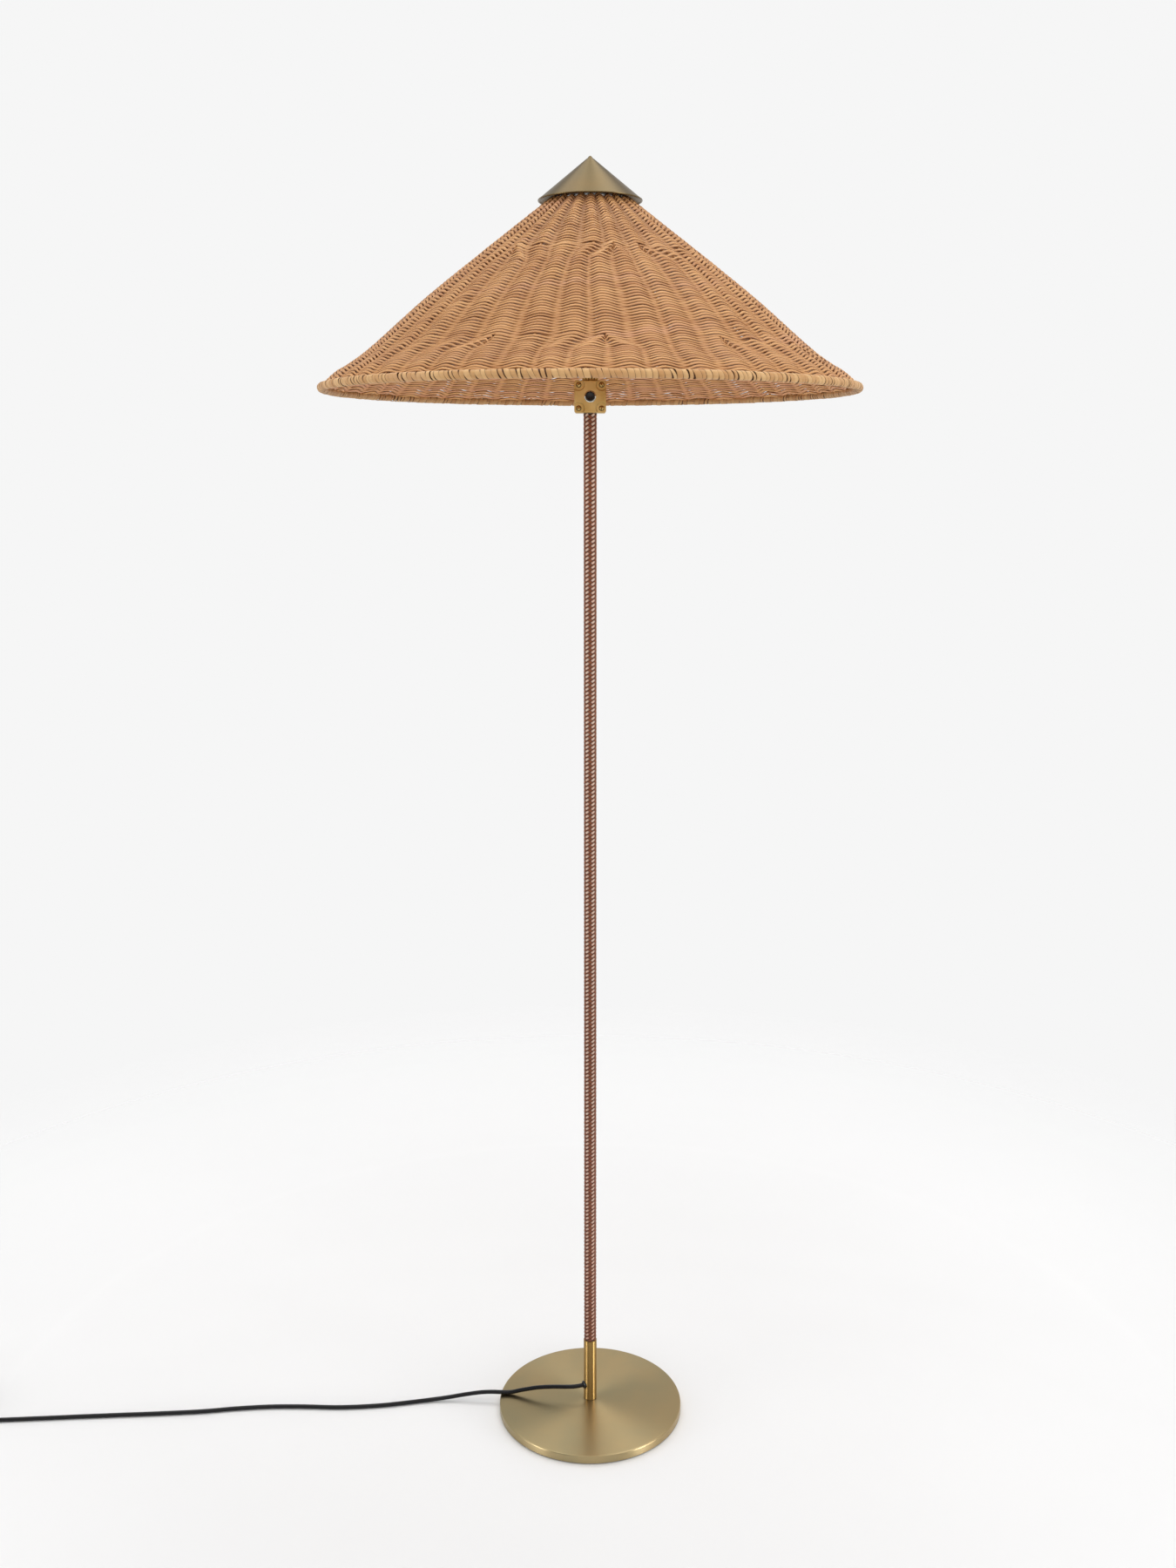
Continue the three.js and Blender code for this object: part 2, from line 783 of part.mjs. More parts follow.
function carrierArm(index) {
  const middle = (carrierBottom + carrierTop) / 2;
  const path = throughPoints([
    [carrierRingRadius - topRingWire, 0, middle],
    [armRadius - armBend / 2, 0, middle + armBend / 3],
    [armRadius, 0, middle + armBend + armBend / 3],
    [armRadius, 0, (middle + topRingHeight) / 2],
    [armRadius, 0, topRingHeight - armBend],
    [topRingRadius - topRingWire, 0, topRingHeight],
  ]);
  const arm = wire(path, topRingWire, wireSides, armSteps);
  return arm.rotateZ(armFirstAngle + (index * fullTurn) / armCount);
}

function shadeFrame() {
  const flat = ring(holderRadius + fit, carrierRingRadius, carrierBottom, carrierTop, middleSides);
  const section = arc(topRingRadius, topRingHeight, topRingWire, 0, fullTurn, wireSides);
  const top = turned(section.slice(0, wireSides), topRingSides);
  const bridge = new THREE.BoxGeometry(2 * topRingRadius, bridgeWidth, bridgeThickness);
  bridge.translate(0, 0, (bridgeBottom + bridgeTop) / 2);
  const hole = rod(capScrewRadius + fit, bridgeBottom - overrun, bridgeTop + overrun, narrowSides);
  const arms = Array.from({ length: armCount }, (_, i) => carrierArm(i));
  return cut(joined(flat, top, bridge, ...arms), hole);
}

// Cap: a spun brass cone with a rolled edge and a threaded boss

const capSheet = 1.2;
const capRoll = 1.2; // radius of the rolled edge
const bossRadius = 5;
const bossBoreDepth = 16;
const rollSteps = 4;

const capSlope = capRadius / capHeight;
const bossBottom = bridgeTop + fit;

function capCone() {
  const sheetDrop = capSheet * Math.hypot(1, 1 / capSlope);
  const innerHeight = (radius) => totalHeight - sheetDrop - radius / capSlope;
  const bore = capScrewRadius + fit;
  const rollX = capRadius - capRoll;
  const outline = [
    [0, bossBottom + bossBoreDepth],
    [bore, bossBottom + bossBoreDepth],
    [bore, bossBottom],
    [bossRadius, bossBottom],
    [bossRadius, innerHeight(bossRadius)],
    [rollX - capRoll, innerHeight(rollX - capRoll)],
    ...arc(rollX, capRimHeight, capRoll, Math.PI, fullTurn, rollSteps),
    [0, totalHeight],
  ];
  return turned(outline, wideSides);
}

function capScrew() {
  const headTop = bridgeBottom - fit;
  const outline = [
    [0, headTop - capScrewHeadHeight],
    [capScrewHeadRadius, headTop - capScrewHeadHeight],
    [capScrewHeadRadius, headTop],
    [capScrewRadius, headTop],
    [capScrewRadius, headTop + capScrewLength],
    [0, headTop + capScrewLength],
  ];
  return turned(outline, narrowSides);
}

// Cord: from the grommet over the edge of the disc and along the floor to a coil and a plug.
// The route's points are the middle of the cord, chosen by hand along the photographed line.

const cordRoute = [
  [-4.1, -1.9, 32],
  [-10.4, -4.9, 32],
  [-18, -7, 31.8],
  [-30, -6, 30.6],
  [-46, -2, 28.1],
  [-65, 2.5, 24.2],
  [-85, 6.6, 18.2],
  [-99, 8.5, 14],
  [-110, 9.3, 13.3],
  [-124, 10.4, 13],
  [-138, 11.4, 11.6],
  [-158, 11.8, 8.4],
  [-178, 11, 5.2],
  [-201, 9, 3],
  [-228, 4, 2.6],
  [-255, -1, 2.6],
  [-285, -4.4, 2.6],
  [-317, -5.8, 2.6],
  [-359, -4.2, 2.6],
  [-400, -4.6, 2.6],
  [-441, -8.4, 2.6],
  [-480, -14, 2.6],
  [-534, -18.4, 2.6],
  [-582, -21.4, 2.6],
  [-630, -24.6, 2.6],
  [-680, -28.2, 2.6],
  [-726, -31.2, 2.6],
  [-760, -33.3, 3.1],
  [-785, -34, 3.7],
];
const cordSides = 8;
const cordSteps = 72;

function cordRun() {
  return wire(throughPoints(cordRoute), cordRadius, cordSides, cordSteps);
}

// Coil: the loops spiral in on the lower layer and out again on the upper one

const coilTurns = 6.25;
const coilPitch = 5.6; // between loops that lie side by side
const coilLayerRise = 5.5;
const coilInnerRadius = 21.25;
const coilLoopSteps = 24;
const coilSides = 6;
const coilMiddleTurn = coilTurns / 2;
const coilClimb = 0.25; // turns before and after the middle in which the cord climbs
const tailDrop = 2.3; // from the upper layer down to the plug
const tailLength = 25;
const tailShares = [[0.3, 0.15], [0.7, 0.95], [0.8, 1], [1, 1]]; // of its length and of its drop

const [coilEntryX, coilEntryY, coilEntryZ] = cordRoute[cordRoute.length - 1];
const coilOuterRadius = coilInnerRadius + coilPitch * coilMiddleTurn;
const coilX = coilEntryX - fit - cordDiameter;
const coilY = coilEntryY + coilOuterRadius;

function coilRadiusAt(turns) {
  return coilInnerRadius + coilPitch * Math.abs(turns - coilMiddleTurn);
}

function coilHeightAt(turns) {
  const start = coilMiddleTurn - coilClimb;
  const climb = THREE.MathUtils.smoothstep(turns, start, coilMiddleTurn + coilClimb);
  return coilEntryZ + coilLayerRise * climb;
}

function coilPoints() {
  const steps = Math.round(coilTurns * coilLoopSteps);
  const loops = Array.from({ length: steps + 1 }, (_, i) => {
    const turns = i / coilLoopSteps;
    const angle = -quarterTurn - turns * fullTurn;
    const radius = coilRadiusAt(turns);
    return [coilX + radius * Math.cos(angle), coilY + radius * Math.sin(angle), coilHeightAt(turns)];
  });
  const [endX, endY, endZ] = loops[steps];
  return [
    [coilEntryX - fit, coilEntryY, coilEntryZ],
    [coilEntryX - fit - cordDiameter / 2, coilEntryY, coilEntryZ],
    ...loops,
    ...tailShares.map(([length, drop]) => [endX, endY + tailLength * length, endZ - tailDrop * drop]),
  ];
}

function leastGap(curve, steps) {
  const places = curve.getSpacedPoints(steps);
  const apart = Math.ceil(coilLoopSteps / 2);
  let least = Infinity;
  for (let i = 0; i < places.length; i += 1) {
    for (let j = i + apart; j < places.length; j += 1) {
      least = Math.min(least, places[i].distanceTo(places[j]));
    }
  }
  return least - cordDiameter;
}

function cordCoil() {
  const curve = throughPoints(coilPoints());
  const straightSteps = 2 + 2 * tailShares.length;
  const steps = Math.round(coilTurns * coilLoopSteps) + straightSteps;
  console.log(`least gap of the coil to itself ${leastGap(curve, steps * 2).toFixed(2)} mm`);
  return wire(curve, cordRadius, coilSides, steps);
}

// Tie: a strap round the loops on the far side of the coil

const tieWidth = 8;
const tieThickness = 0.8;
const tieAir = 0.4;
const tieCorner = 2;
const tieOuterTurn = 0.5; // how far into the coil its outermost loop runs through the tie
const tieInnerTurn = 3.5; // and its innermost one

function tieOutline(grow) {
  const lowest = coilEntryZ - cordRadius - tieAir - grow;
  const highest = coilEntryZ + coilLayerRise + cordRadius + tieAir + grow;
  const nearest = coilRadiusAt(tieInnerTurn) - cordRadius - tieAir - grow;
  const farthest = coilRadiusAt(tieOuterTurn) + cordRadius + tieAir + grow;
  const corner = tieCorner + grow;
  const arcs = [
    [farthest, highest, 0], [nearest, highest, 1], [nearest, lowest, 2], [farthest, lowest, 3],
  ];
  return arcs.flatMap(([across, height, index]) => {
    const x = across === farthest ? farthest - corner : nearest + corner;
    const y = height === highest ? highest - corner : lowest + corner;
    return arc(x, y, corner, index * quarterTurn, (index + 1) * quarterTurn, 2);
  });
}

function cordTie() {
  const shape = polygon(tieOutline(tieThickness));
  shape.holes.push(new THREE.Path(polygon(tieOutline(0)).getPoints()));
  const strap = drawnOut(shape, -tieWidth / 2, tieWidth / 2, 1);
  strap.rotateX(quarterTurn).rotateZ(quarterTurn);
  return strap.translate(coilX, coilY, 0);
}

// Plug: a flat two-pin mains plug at the end of the tail

const plugThickness = 13.7;
const plugWidth = 35.3;
const plugLength = 36;
const plugShoulder = 20; // width at the cord's end
const plugShoulderShare = 0.45; // of its length over which it widens
const plugRound = 2;
const reliefLength = 24;
const reliefTipRadius = 3.4;
const reliefFootRadius = 5;
const pinRadius = 2;
const pinSpacing = 18.6;
const pinLength = 19;
const pinTip = 1;

const [plugX, plugTailY, plugZ] = coilPoints()[coilPoints().length - 1];
const plugY = plugTailY + fit;

function plugBody() {
  const from = reliefLength - plugRound;
  const to = reliefLength + plugLength;
  const middle = from + (to - from) * plugShoulderShare;
  const half = plugWidth / 2;
  const outline = [
    [plugShoulder / 2, from], [half, middle], [half, to - plugRound], [half - plugRound, to],
    [plugRound - half, to], [-half, to - plugRound], [-half, middle], [-plugShoulder / 2, from],
  ];
  const body = drawnOut(polygon(outline), -plugThickness / 2, plugThickness / 2, 1);
  const relief = turned([
    [0, 0], [reliefTipRadius, 0], [reliefFootRadius, reliefLength],
    [reliefFootRadius, reliefLength + plugRound], [0, reliefLength + plugRound],
  ], narrowSides);
  return joined(body, relief.rotateX(-quarterTurn));
}

function plugPin() {
  const start = reliefLength + plugLength + fit;
  const outline = [
    [0, start], [pinRadius, start], [pinRadius, start + pinLength - pinTip],
    [pinRadius - pinTip, start + pinLength], [0, start + pinLength],
  ];
  return turned(outline, narrowSides).rotateX(-quarterTurn);
}

// Lead inside the lamp, from the cord's end up to the switch

function innerLead() {
  const outward = -Math.cos(cordExitAngle);
  const forward = -Math.sin(cordExitAngle);
  const start = Math.hypot(cordRoute[0][0], cordRoute[0][1]) - fit;
  const level = start * leadTurnShare;
  const rise = stemBore;
  const top = switchHeight - barrelRadius - fit;
  const path = throughPoints([
    [outward * start, forward * start, cordExitHeight],
    [outward * level, forward * level, cordExitHeight],
    [0, 0, cordExitHeight + rise],
    [0, 0, cordExitHeight + 2 * rise],
    [0, 0, (cordExitHeight + top) / 2],
    [0, 0, top],
  ]);
  return wire(path, leadRadius, wireSides, leadSteps);
}

// Assemblies

function baseAssembly() {
  const group = new THREE.Group();
  group.add(
    piece('base_pad', rod(baseRadius - padInset, 0, padThickness, wideSides), finishes.felt),
    piece('base_weight', baseWeight(), finishes.iron),
    piece('base_cover', baseCover(), finishes.brass),
    piece('foot_washer', footWasher(), finishes.steel),
    piece('foot_bolt', footBolt(), finishes.steel),
    piece('foot_plug', footPlug(), finishes.steel),
    piece('foot_tube', footTube(), finishes.brass),
    piece('cord_grommet', cordGrommet(), finishes.blackPlastic),
  );
  return group;
}

function footWasher() {
  const top = recessTop - fit;
  return ring(boltHole, washerRadius, top - washerThickness, top, middleSides);
}

function stemAssembly() {
  const nutBottom = boxBottom + boxWall + fit;
  const tubeBottom = cordExitHeight + grommetNeck + stemEndAboveCord;
  const tubeTop = nutBottom + stemNutHeight + threadStub;
  const tube = ring(stemBore, stemTubeRadius, tubeBottom, tubeTop, middleSides);
  const sleeveInner = stemTubeRadius + fit;
  const sleeve = ring(sleeveInner, stemRadius, footTubeTop + fit, boxBottom - fit, middleSides);
  const nut = hexNut(stemNutFlats, stemTubeRadius + fit, nutBottom, nutBottom + stemNutHeight);
  const group = new THREE.Group();
  group.add(
    piece('stem_tube', tube, finishes.steel),
    piece('stem_cover', sleeve, finishes.sleeve),
    piece('stem_nut', nut, finishes.steel),
    piece('inner_lead', innerLead(), finishes.blackRubber),
  );
  return group;
}

// The switch is modelled with its face in XY and +Z towards the viewer, then turned to face -Y
function switchAssembly() {
  const group = new THREE.Group();
  group.position.z = switchHeight;
  group.rotation.x = quarterTurn;
  group.add(
    piece('switch_box', switchBox(), finishes.brass),
    piece('switch_cover', switchCover(), finishes.brass),
    piece('switch_body', switchBody(), finishes.blackPlastic),
    piece('switch_nut', switchNut(), finishes.steel),
    piece('switch_bezel', switchBezel(), finishes.silver),
    piece('switch_button', switchButton(), finishes.blackPlastic),
  );
  eachCorner(screwPlace).forEach(([x, y], i) => {
    const screw = piece(`cover_screw_${i + 1}`, coverScrew(), finishes.brass);
    screw.position.set(x, y, 0);
    group.add(screw);
  });
  return group;
}

function holderAssembly() {
  const nutTop = boxTop - boxWall - fit;
  const nut = hexNut(nippleNutFlats, nippleRadius + fit, nutTop - nippleNutHeight, nutTop);
  const group = new THREE.Group();
  group.add(
    piece('knurled_collar', knurledCollar(), finishes.brass),
    piece('nipple', nipple(), finishes.steel),
    piece('nipple_nut', nut, finishes.steel),
    piece('holder_cap', holderCap(), finishes.brass),
    piece('holder_shell', holderShell(), finishes.blackPlastic),
    piece('holder_thread', holderThread(), finishes.brass),
    piece('holder_ring', holderRing(), finishes.blackPlastic),
    piece('bulb_cap', bulbCap(), finishes.silver),
    piece('bulb_glass', bulbGlass(), finishes.opalGlass),
  );
  return group;
}

function shadeAssembly() {
  const group = new THREE.Group();
  group.add(
    piece('shade_frame', shadeFrame(), finishes.steel),
    piece('shade_weave', shadeWeave(), finishes.rattan),
    piece('rim_hoop', rimHoop(), finishes.rattan),
    piece('rim_binding', rimBinding(), finishes.paleRattan),
    piece('cap_screw', capScrew(), finishes.steel),
    piece('cap_cone', capCone(), finishes.brass),
  );
  return group;
}

function cordAssembly() {
  const plug = new THREE.Group();
  plug.position.set(plugX, plugY, plugZ);
  plug.add(piece('plug_body', plugBody(), finishes.blackPlastic));
  [-1, 1].forEach((side, i) => {
    const pin = piece(`plug_pin_${i + 1}`, plugPin(), finishes.silver);
    pin.position.x = (side * pinSpacing) / 2;
    plug.add(pin);
  });
  const group = new THREE.Group();
  group.add(
    piece('cord_run', cordRun(), finishes.blackRubber),
    piece('cord_coil', cordCoil(), finishes.blackRubber),
    piece('cord_tie', cordTie(), finishes.blackRubber),
    plug,
  );
  return group;
}

const lamp = new THREE.Group();
lamp.add(
  baseAssembly(),
  stemAssembly(),
  switchAssembly(),
  holderAssembly(),
  shadeAssembly(),
  cordAssembly(),
);

export default lamp;
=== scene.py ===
# %% [markdown]
# # A rattan floor lamp
# The lamp has a wide cone of woven rattan under a small brass cap, a slim stem in a braided sleeve, a
# square brass switch box and a thin round base of spun brass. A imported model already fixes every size
# and place. This lesson dresses it: each visible piece is modelled finely and gets its own finish.
# The pieces could be drawn by hand. Short functions make them instead, because strands, turns and
# flutes repeat, and a formula keeps them even.

# %% Load the fixed frame
import json
import math

import bmesh
import bpy
import numpy as np
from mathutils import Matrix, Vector

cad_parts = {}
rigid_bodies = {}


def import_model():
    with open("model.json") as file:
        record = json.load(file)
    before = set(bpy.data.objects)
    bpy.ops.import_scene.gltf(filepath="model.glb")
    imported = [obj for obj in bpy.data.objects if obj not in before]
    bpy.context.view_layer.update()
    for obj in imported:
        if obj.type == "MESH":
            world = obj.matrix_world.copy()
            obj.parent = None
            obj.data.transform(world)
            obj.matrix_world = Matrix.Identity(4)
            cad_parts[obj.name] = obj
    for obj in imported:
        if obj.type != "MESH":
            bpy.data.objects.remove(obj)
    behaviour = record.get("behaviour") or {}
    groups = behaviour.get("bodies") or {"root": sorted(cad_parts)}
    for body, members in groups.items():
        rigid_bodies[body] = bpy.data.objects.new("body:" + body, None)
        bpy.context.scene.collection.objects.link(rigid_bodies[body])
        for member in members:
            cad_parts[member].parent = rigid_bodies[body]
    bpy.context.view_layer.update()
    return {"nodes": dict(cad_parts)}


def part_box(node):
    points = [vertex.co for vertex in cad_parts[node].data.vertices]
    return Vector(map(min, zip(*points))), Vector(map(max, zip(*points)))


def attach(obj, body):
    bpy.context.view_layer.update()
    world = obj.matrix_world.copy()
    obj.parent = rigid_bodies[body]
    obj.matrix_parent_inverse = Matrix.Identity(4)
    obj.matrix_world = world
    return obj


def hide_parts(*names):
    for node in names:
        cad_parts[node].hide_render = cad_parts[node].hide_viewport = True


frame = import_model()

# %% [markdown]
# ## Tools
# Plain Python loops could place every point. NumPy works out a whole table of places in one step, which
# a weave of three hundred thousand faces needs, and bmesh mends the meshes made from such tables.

MM = 0.001
FULL_TURN = 2 * math.pi
print("nodes in the frame:", len(frame["nodes"]))

# %% [markdown]
# ## The camera
# The photograph was taken from a little below the shade, looking slightly down. Its outlines fix the
# lens and the place. A camera could also be aimed with a constraint, but plain numbers show where it is.

# %% Camera
PHOTO_WIDTH, PHOTO_HEIGHT = 1350, 1800
FOCAL_PIXELS = 1736
OPTICAL_CENTRE = (677.5, 833.7)
SENSOR = 36
CAMERA_DISTANCE = 1722.6 * MM
CAMERA_HEIGHT = 1150.7 * MM
CAMERA_PITCH = math.radians(9.53)


def place_camera():
    data = bpy.data.cameras.new("camera")
    data.sensor_width = SENSOR
    data.lens = SENSOR * FOCAL_PIXELS / PHOTO_HEIGHT
    data.shift_x = (PHOTO_WIDTH / 2 - OPTICAL_CENTRE[0]) / PHOTO_HEIGHT
    data.shift_y = OPTICAL_CENTRE[1] / PHOTO_HEIGHT - 0.5
    camera = bpy.data.objects.new("camera", data)
    camera.location = (0, -CAMERA_DISTANCE, CAMERA_HEIGHT)
    camera.rotation_euler = (math.pi / 2 - CAMERA_PITCH, 0, 0)
    bpy.context.scene.collection.objects.link(camera)
    bpy.context.scene.camera = camera
    return camera


camera = place_camera()
print("lens", round(camera.data.lens, 2), "mm, shift", round(camera.data.shift_y, 4))

# %% [markdown]
# ## Shader maths as Python
# A finish is a small graph of nodes. Drawing it by hand is slow to read, so this class wraps a socket:
# an expression such as `1 - mask * 0.5` adds the Math nodes, and `node` adds any other node.

# %% A socket that takes part in expressions


class Socket:
    """One output of a material's nodes, or the material itself before any node is made."""

    def __init__(self, tree, output=None):
        self.tree = tree
        self.output = output

    def parts(self):
        """The X, Y and Z of a vector."""
        outputs = self.node("SeparateXYZ").output.node.outputs
        return [Socket(self.tree, output) for output in outputs]

    def node(self, kind, settings=None, inputs=None, output=0):
        """Adds a node. Its first input takes this socket, if there is one and inputs are not given."""
        made = self.tree.nodes.new("ShaderNode" + kind)
        if inputs is None and self.output and made.inputs:
            inputs = {0: self}
        for name, value in (settings or {}).items():
            if name == "stops":
                set_stops(made.color_ramp, value)
            else:
                setattr(made, name, value)
        for name, value in (inputs or {}).items():
            if isinstance(value, Socket):
                self.tree.links.new(value.output, made.inputs[name])
            else:
                made.inputs[name].default_value = value
        return Socket(self.tree, made.outputs[output] if len(made.outputs) else made)

    def maths(self, operation, first, second=0.0):
        return self.node("Math", {"operation": operation}, {0: first, 1: second})

    def __add__(self, other):
        return self.maths("ADD", self, other)

    def __radd__(self, other):
        return self.maths("ADD", other, self)

    def __sub__(self, other):
        return self.maths("SUBTRACT", self, other)

    def __rsub__(self, other):
        return self.maths("SUBTRACT", other, self)

    def __neg__(self):
        return self.maths("MULTIPLY", self, -1.0)

    def __mul__(self, other):
        return self.maths("MULTIPLY", self, other)

    def __rmul__(self, other):
        return self.maths("MULTIPLY", other, self)

    def __pow__(self, other):
        return self.maths("POWER", self, other)

    def mixed(self, low, high):
        """This value from 0 to 1 mixes two colours, which are inputs 6 and 7 of a colour Mix."""
        return self.node("Mix", {"data_type": "RGBA"}, {0: self, 6: low, 7: high}, 2)

    def between(self, low, high):
        """This value from low to high, brought to 0 to 1."""
        return self.node("MapRange", {"clamp": True}, {"Value": self, "From Min": low, "From Max": high})


def set_stops(ramp, stops):
    for place, value in stops:
        stop = ramp.elements.new(place)
        stop.color = (value, value, value, 1)
    ramp.elements.remove(ramp.elements[0])
    ramp.elements.remove(ramp.elements[-1])


def srgb(red, green, blue):
    """A colour as it is read from a screen, 0 to 255, in the linear values that nodes take."""
    shares = [value / 255 for value in (red, green, blue)]
    linear = [s / 12.92 if s <= 0.04045 else ((s + 0.055) / 1.055) ** 2.4 for s in shares]
    return (*linear, 1)


def new_finish(name, build, roughness, metallic=0.0, **constants):
    """A material whose surface comes from build(start), which returns the linked sockets."""
    material = bpy.data.materials.new(name)
    material.use_nodes = True
    tree = material.node_tree
    shader = tree.nodes["Principled BSDF"]
    shader.inputs["Roughness"].default_value = roughness
    shader.inputs["Metallic"].default_value = metallic
    for key, value in constants.items():
        shader.inputs[key.replace("_", " ")].default_value = value
    for key, socket in build(Socket(tree)).items():
        tree.links.new(socket.output, shader.inputs[key])
    return material


print("socket class ready")

# %% [markdown]
# ## Patterns shared by the finishes
# Brushed metal, rattan skin and moulded rubber all need fine, uneven marks. Image textures would do it,
# but noise worked out from the place on the piece has no seams and needs no file.

# %% Noise, tone and relief
CLOUD_RANGE = (0.3, 0.7)  # a noise changes from one colour to the other between these values


def place_on_piece(start):
    return start.node("TexCoord", output="Object")


def stretched(start, vector, scale):
    return start.node("Mapping", inputs={"Vector": vector, "Scale": scale})


def noise(start, vector, scale, detail=3.0, roughness=0.5):
    inputs = {"Vector": vector, "Scale": scale, "Detail": detail, "Roughness": roughness}
    return start.node("TexNoise", inputs=inputs)


def relief(start, height, strength, distance):
    return start.node("Bump", inputs={"Strength": strength, "Distance": distance, "Height": height})


def attribute(start, name):
    return start.node("Attribute", {"attribute_name": name}, output="Fac")


def from_axis(start):
    """Distance from the stem's axis, in metres."""
    x, y, _ = place_on_piece(start).parts()
    return (x * x + y * y) ** 0.5


def uneven(gloss, grain):
    """Roughness from a pair: the least value, and how much the grain adds."""
    least, more = gloss
    return least + more * grain


def grainy(scale, dark, light, gloss, bump=None, detail=3.0, roughness=0.5):
    """A finish of one even grain, which mixes two colours, breaks the gloss and may have relief."""

    def build(start):
        grain = noise(start, place_on_piece(start), scale, detail, roughness)
        surface = {
            "Base Color": grain.mixed(srgb(*dark), srgb(*light)),
            "Roughness": uneven(gloss, grain),
        }
        if bump:
            surface["Normal"] = relief(start, grain, *bump)
        return surface

    return build


print("patterns ready")

# %% [markdown]
# ## Brass, steel and iron
# The disc and the cap are spun and brushed in circles, so their gloss spreads along the radius. Scratches
# could be drawn by a texture, but the shader's anisotropy stretches the gloss itself: Cycles takes its
# direction from the piece's own axis, and a quarter turn lays the spread across the circles. The tube is
# done alike, up and down. The small brass pieces are satin, and the steel, nickel and iron only grainy.

# %% Metal finishes
BRASS_OLIVE = srgb(166, 152, 116)
BRASS_WARM = srgb(180, 157, 115)
BRASS_YELLOW = srgb(222, 190, 126)
BRASS_DEEP = srgb(199, 164, 98)
SHADE_AND_PATINA = srgb(64, 42, 18)
CAP_OLIVE = srgb(117, 103, 73)
CAP_WARM = srgb(127, 106, 70)
TUBE_DEEP = srgb(154, 122, 68)
TUBE_PALE = srgb(178, 148, 94)
BRUSH_LINES = 900.0  # circles per metre, on average
BRUSH_DEPTH = 0.00002  # metres
SPUN_CLOUDS = 14.0
SPUN_GLOSS = (0.3, 0.1)
SATIN_CLOUDS = 45.0
SATIN_GRAIN = (260.0, (3.0, 3.0, 40.0))  # scale, and how it is squeezed along each axis
SATIN_GLOSS = (0.26, 0.12)
TURNED_GRAIN = (120.0, (1.0, 1.0, 30.0))
TURNED_GLOSS = (0.34, 0.1)


def spun_brass(cool, warm):
    def build(start):
        radius = from_axis(start)
        lines = noise(start, start.node("CombineXYZ", inputs={"X": radius}), BRUSH_LINES, 4.0, 0.7)
        clouds = noise(start, place_on_piece(start), SPUN_CLOUDS)
        return {
            "Base Color": clouds.between(*CLOUD_RANGE).mixed(cool, warm),
            "Roughness": uneven(SPUN_GLOSS, lines),
            "Normal": relief(start, lines, 0.12, BRUSH_DEPTH),
        }

    return build


def satin_brass(start):
    scale, squeeze = SATIN_GRAIN
    place = place_on_piece(start)
    grain = noise(start, stretched(start, place, squeeze), scale, 3.0, 0.6)
    clouds = noise(start, place, SATIN_CLOUDS)
    unshaded = clouds.between(*CLOUD_RANGE).mixed(BRASS_DEEP, BRASS_YELLOW)
    return {
        # The depth attribute mixes in painted shade, with some patina: in the collar's flutes and round
        # the rim of each screw head.
        "Base Color": attribute(start, "depth").mixed(unshaded, SHADE_AND_PATINA),
        "Roughness": uneven(SATIN_GLOSS, grain),
        "Normal": relief(start, grain, 0.08, BRUSH_DEPTH),
    }


def turned_brass(start):
    """The tube was polished as it turned, so its gloss spreads up and down it."""
    scale, squeeze = TURNED_GRAIN
    grain = noise(start, stretched(start, place_on_piece(start), squeeze), scale, 4.0, 0.7)
    return {
        "Base Color": grain.between(*CLOUD_RANGE).mixed(TUBE_DEEP, TUBE_PALE),
        "Roughness": uneven(TURNED_GLOSS, grain),
        "Normal": relief(start, grain, 0.1, BRUSH_DEPTH),
    }


plated_steel = grainy(220.0, (150, 148, 144), (180, 179, 175), (0.32, 0.12))
bright_nickel = grainy(300.0, (208, 208, 206), (226, 226, 223), (0.12, 0.08))
raw_iron = grainy(
    180.0, (46, 44, 43), (74, 71, 68), (0.55, 0.3), bump=(0.4, 0.0004), detail=5.0, roughness=0.6
)
BRUSHED = {"Anisotropic": 0.8, "Anisotropic_Rotation": 0.25}
TURNED = {"Anisotropic": 1.0, "Anisotropic_Rotation": 0.25}
spun = new_finish("spun_brass", spun_brass(BRASS_OLIVE, BRASS_WARM), 0.35, 1.0, **BRUSHED)
spun_cap = new_finish("cap_brass", spun_brass(CAP_OLIVE, CAP_WARM), 0.35, 1.0, **BRUSHED)
satin = new_finish("satin_brass", satin_brass, 0.3, 1.0)
turned_tube = new_finish("turned_brass", turned_brass, 0.4, 1.0, **TURNED)
steel = new_finish("plated_steel", plated_steel, 0.35, 1.0)
nickel = new_finish("bright_nickel", bright_nickel, 0.15, 1.0)
iron = new_finish("raw_iron", raw_iron, 0.7, 0.8)
print("metal finishes:", [m.name for m in (spun, spun_cap, satin, turned_tube, steel, nickel, iron)])

# %% [markdown]
# ## Rattan and braid
# Rattan is a stem with long fibres and a thin glossy skin, and the braid's yarns have fibres too. A wood
# texture on the whole shade would run straight through its strands. Here every strand carries its own
# tone and its own length, stored on its points as it is modelled, and the fibres follow that length.

# %% Strands of rattan and braid
FIBRES = (60.0, 900.0, 40.0)  # fine along the strand, very fine across it
PATCHES = (11.0, 9.0, 3.0)
BLUSHES = (7.0, 5.0, 1.7)
TONE_SHARE, PATCH_SHARE, FIBRE_SHARE = 0.6, 0.5, 0.3
LEVEL_RANGE = (0.35, 1.0)
BLUSH_RANGE = (0.6, 0.78)
INSIDE_BLUSH_RANGE = (1.1, 1.5)  # tones over 1, the painted light on the strands' inner sides, also turn them rosy
# The last colour of each four is the painted shade that the depth attribute mixes in.
RATTAN_COLOURS = (srgb(198, 134, 74), srgb(234, 175, 109), srgb(230, 168, 121), srgb(106, 56, 27))
BINDING_COLOURS = (srgb(208, 154, 98), srgb(234, 188, 130), srgb(224, 174, 129), srgb(96, 52, 26))
BROWNS = (srgb(144, 84, 57), srgb(180, 110, 78), srgb(172, 98, 74), srgb(72, 38, 27))
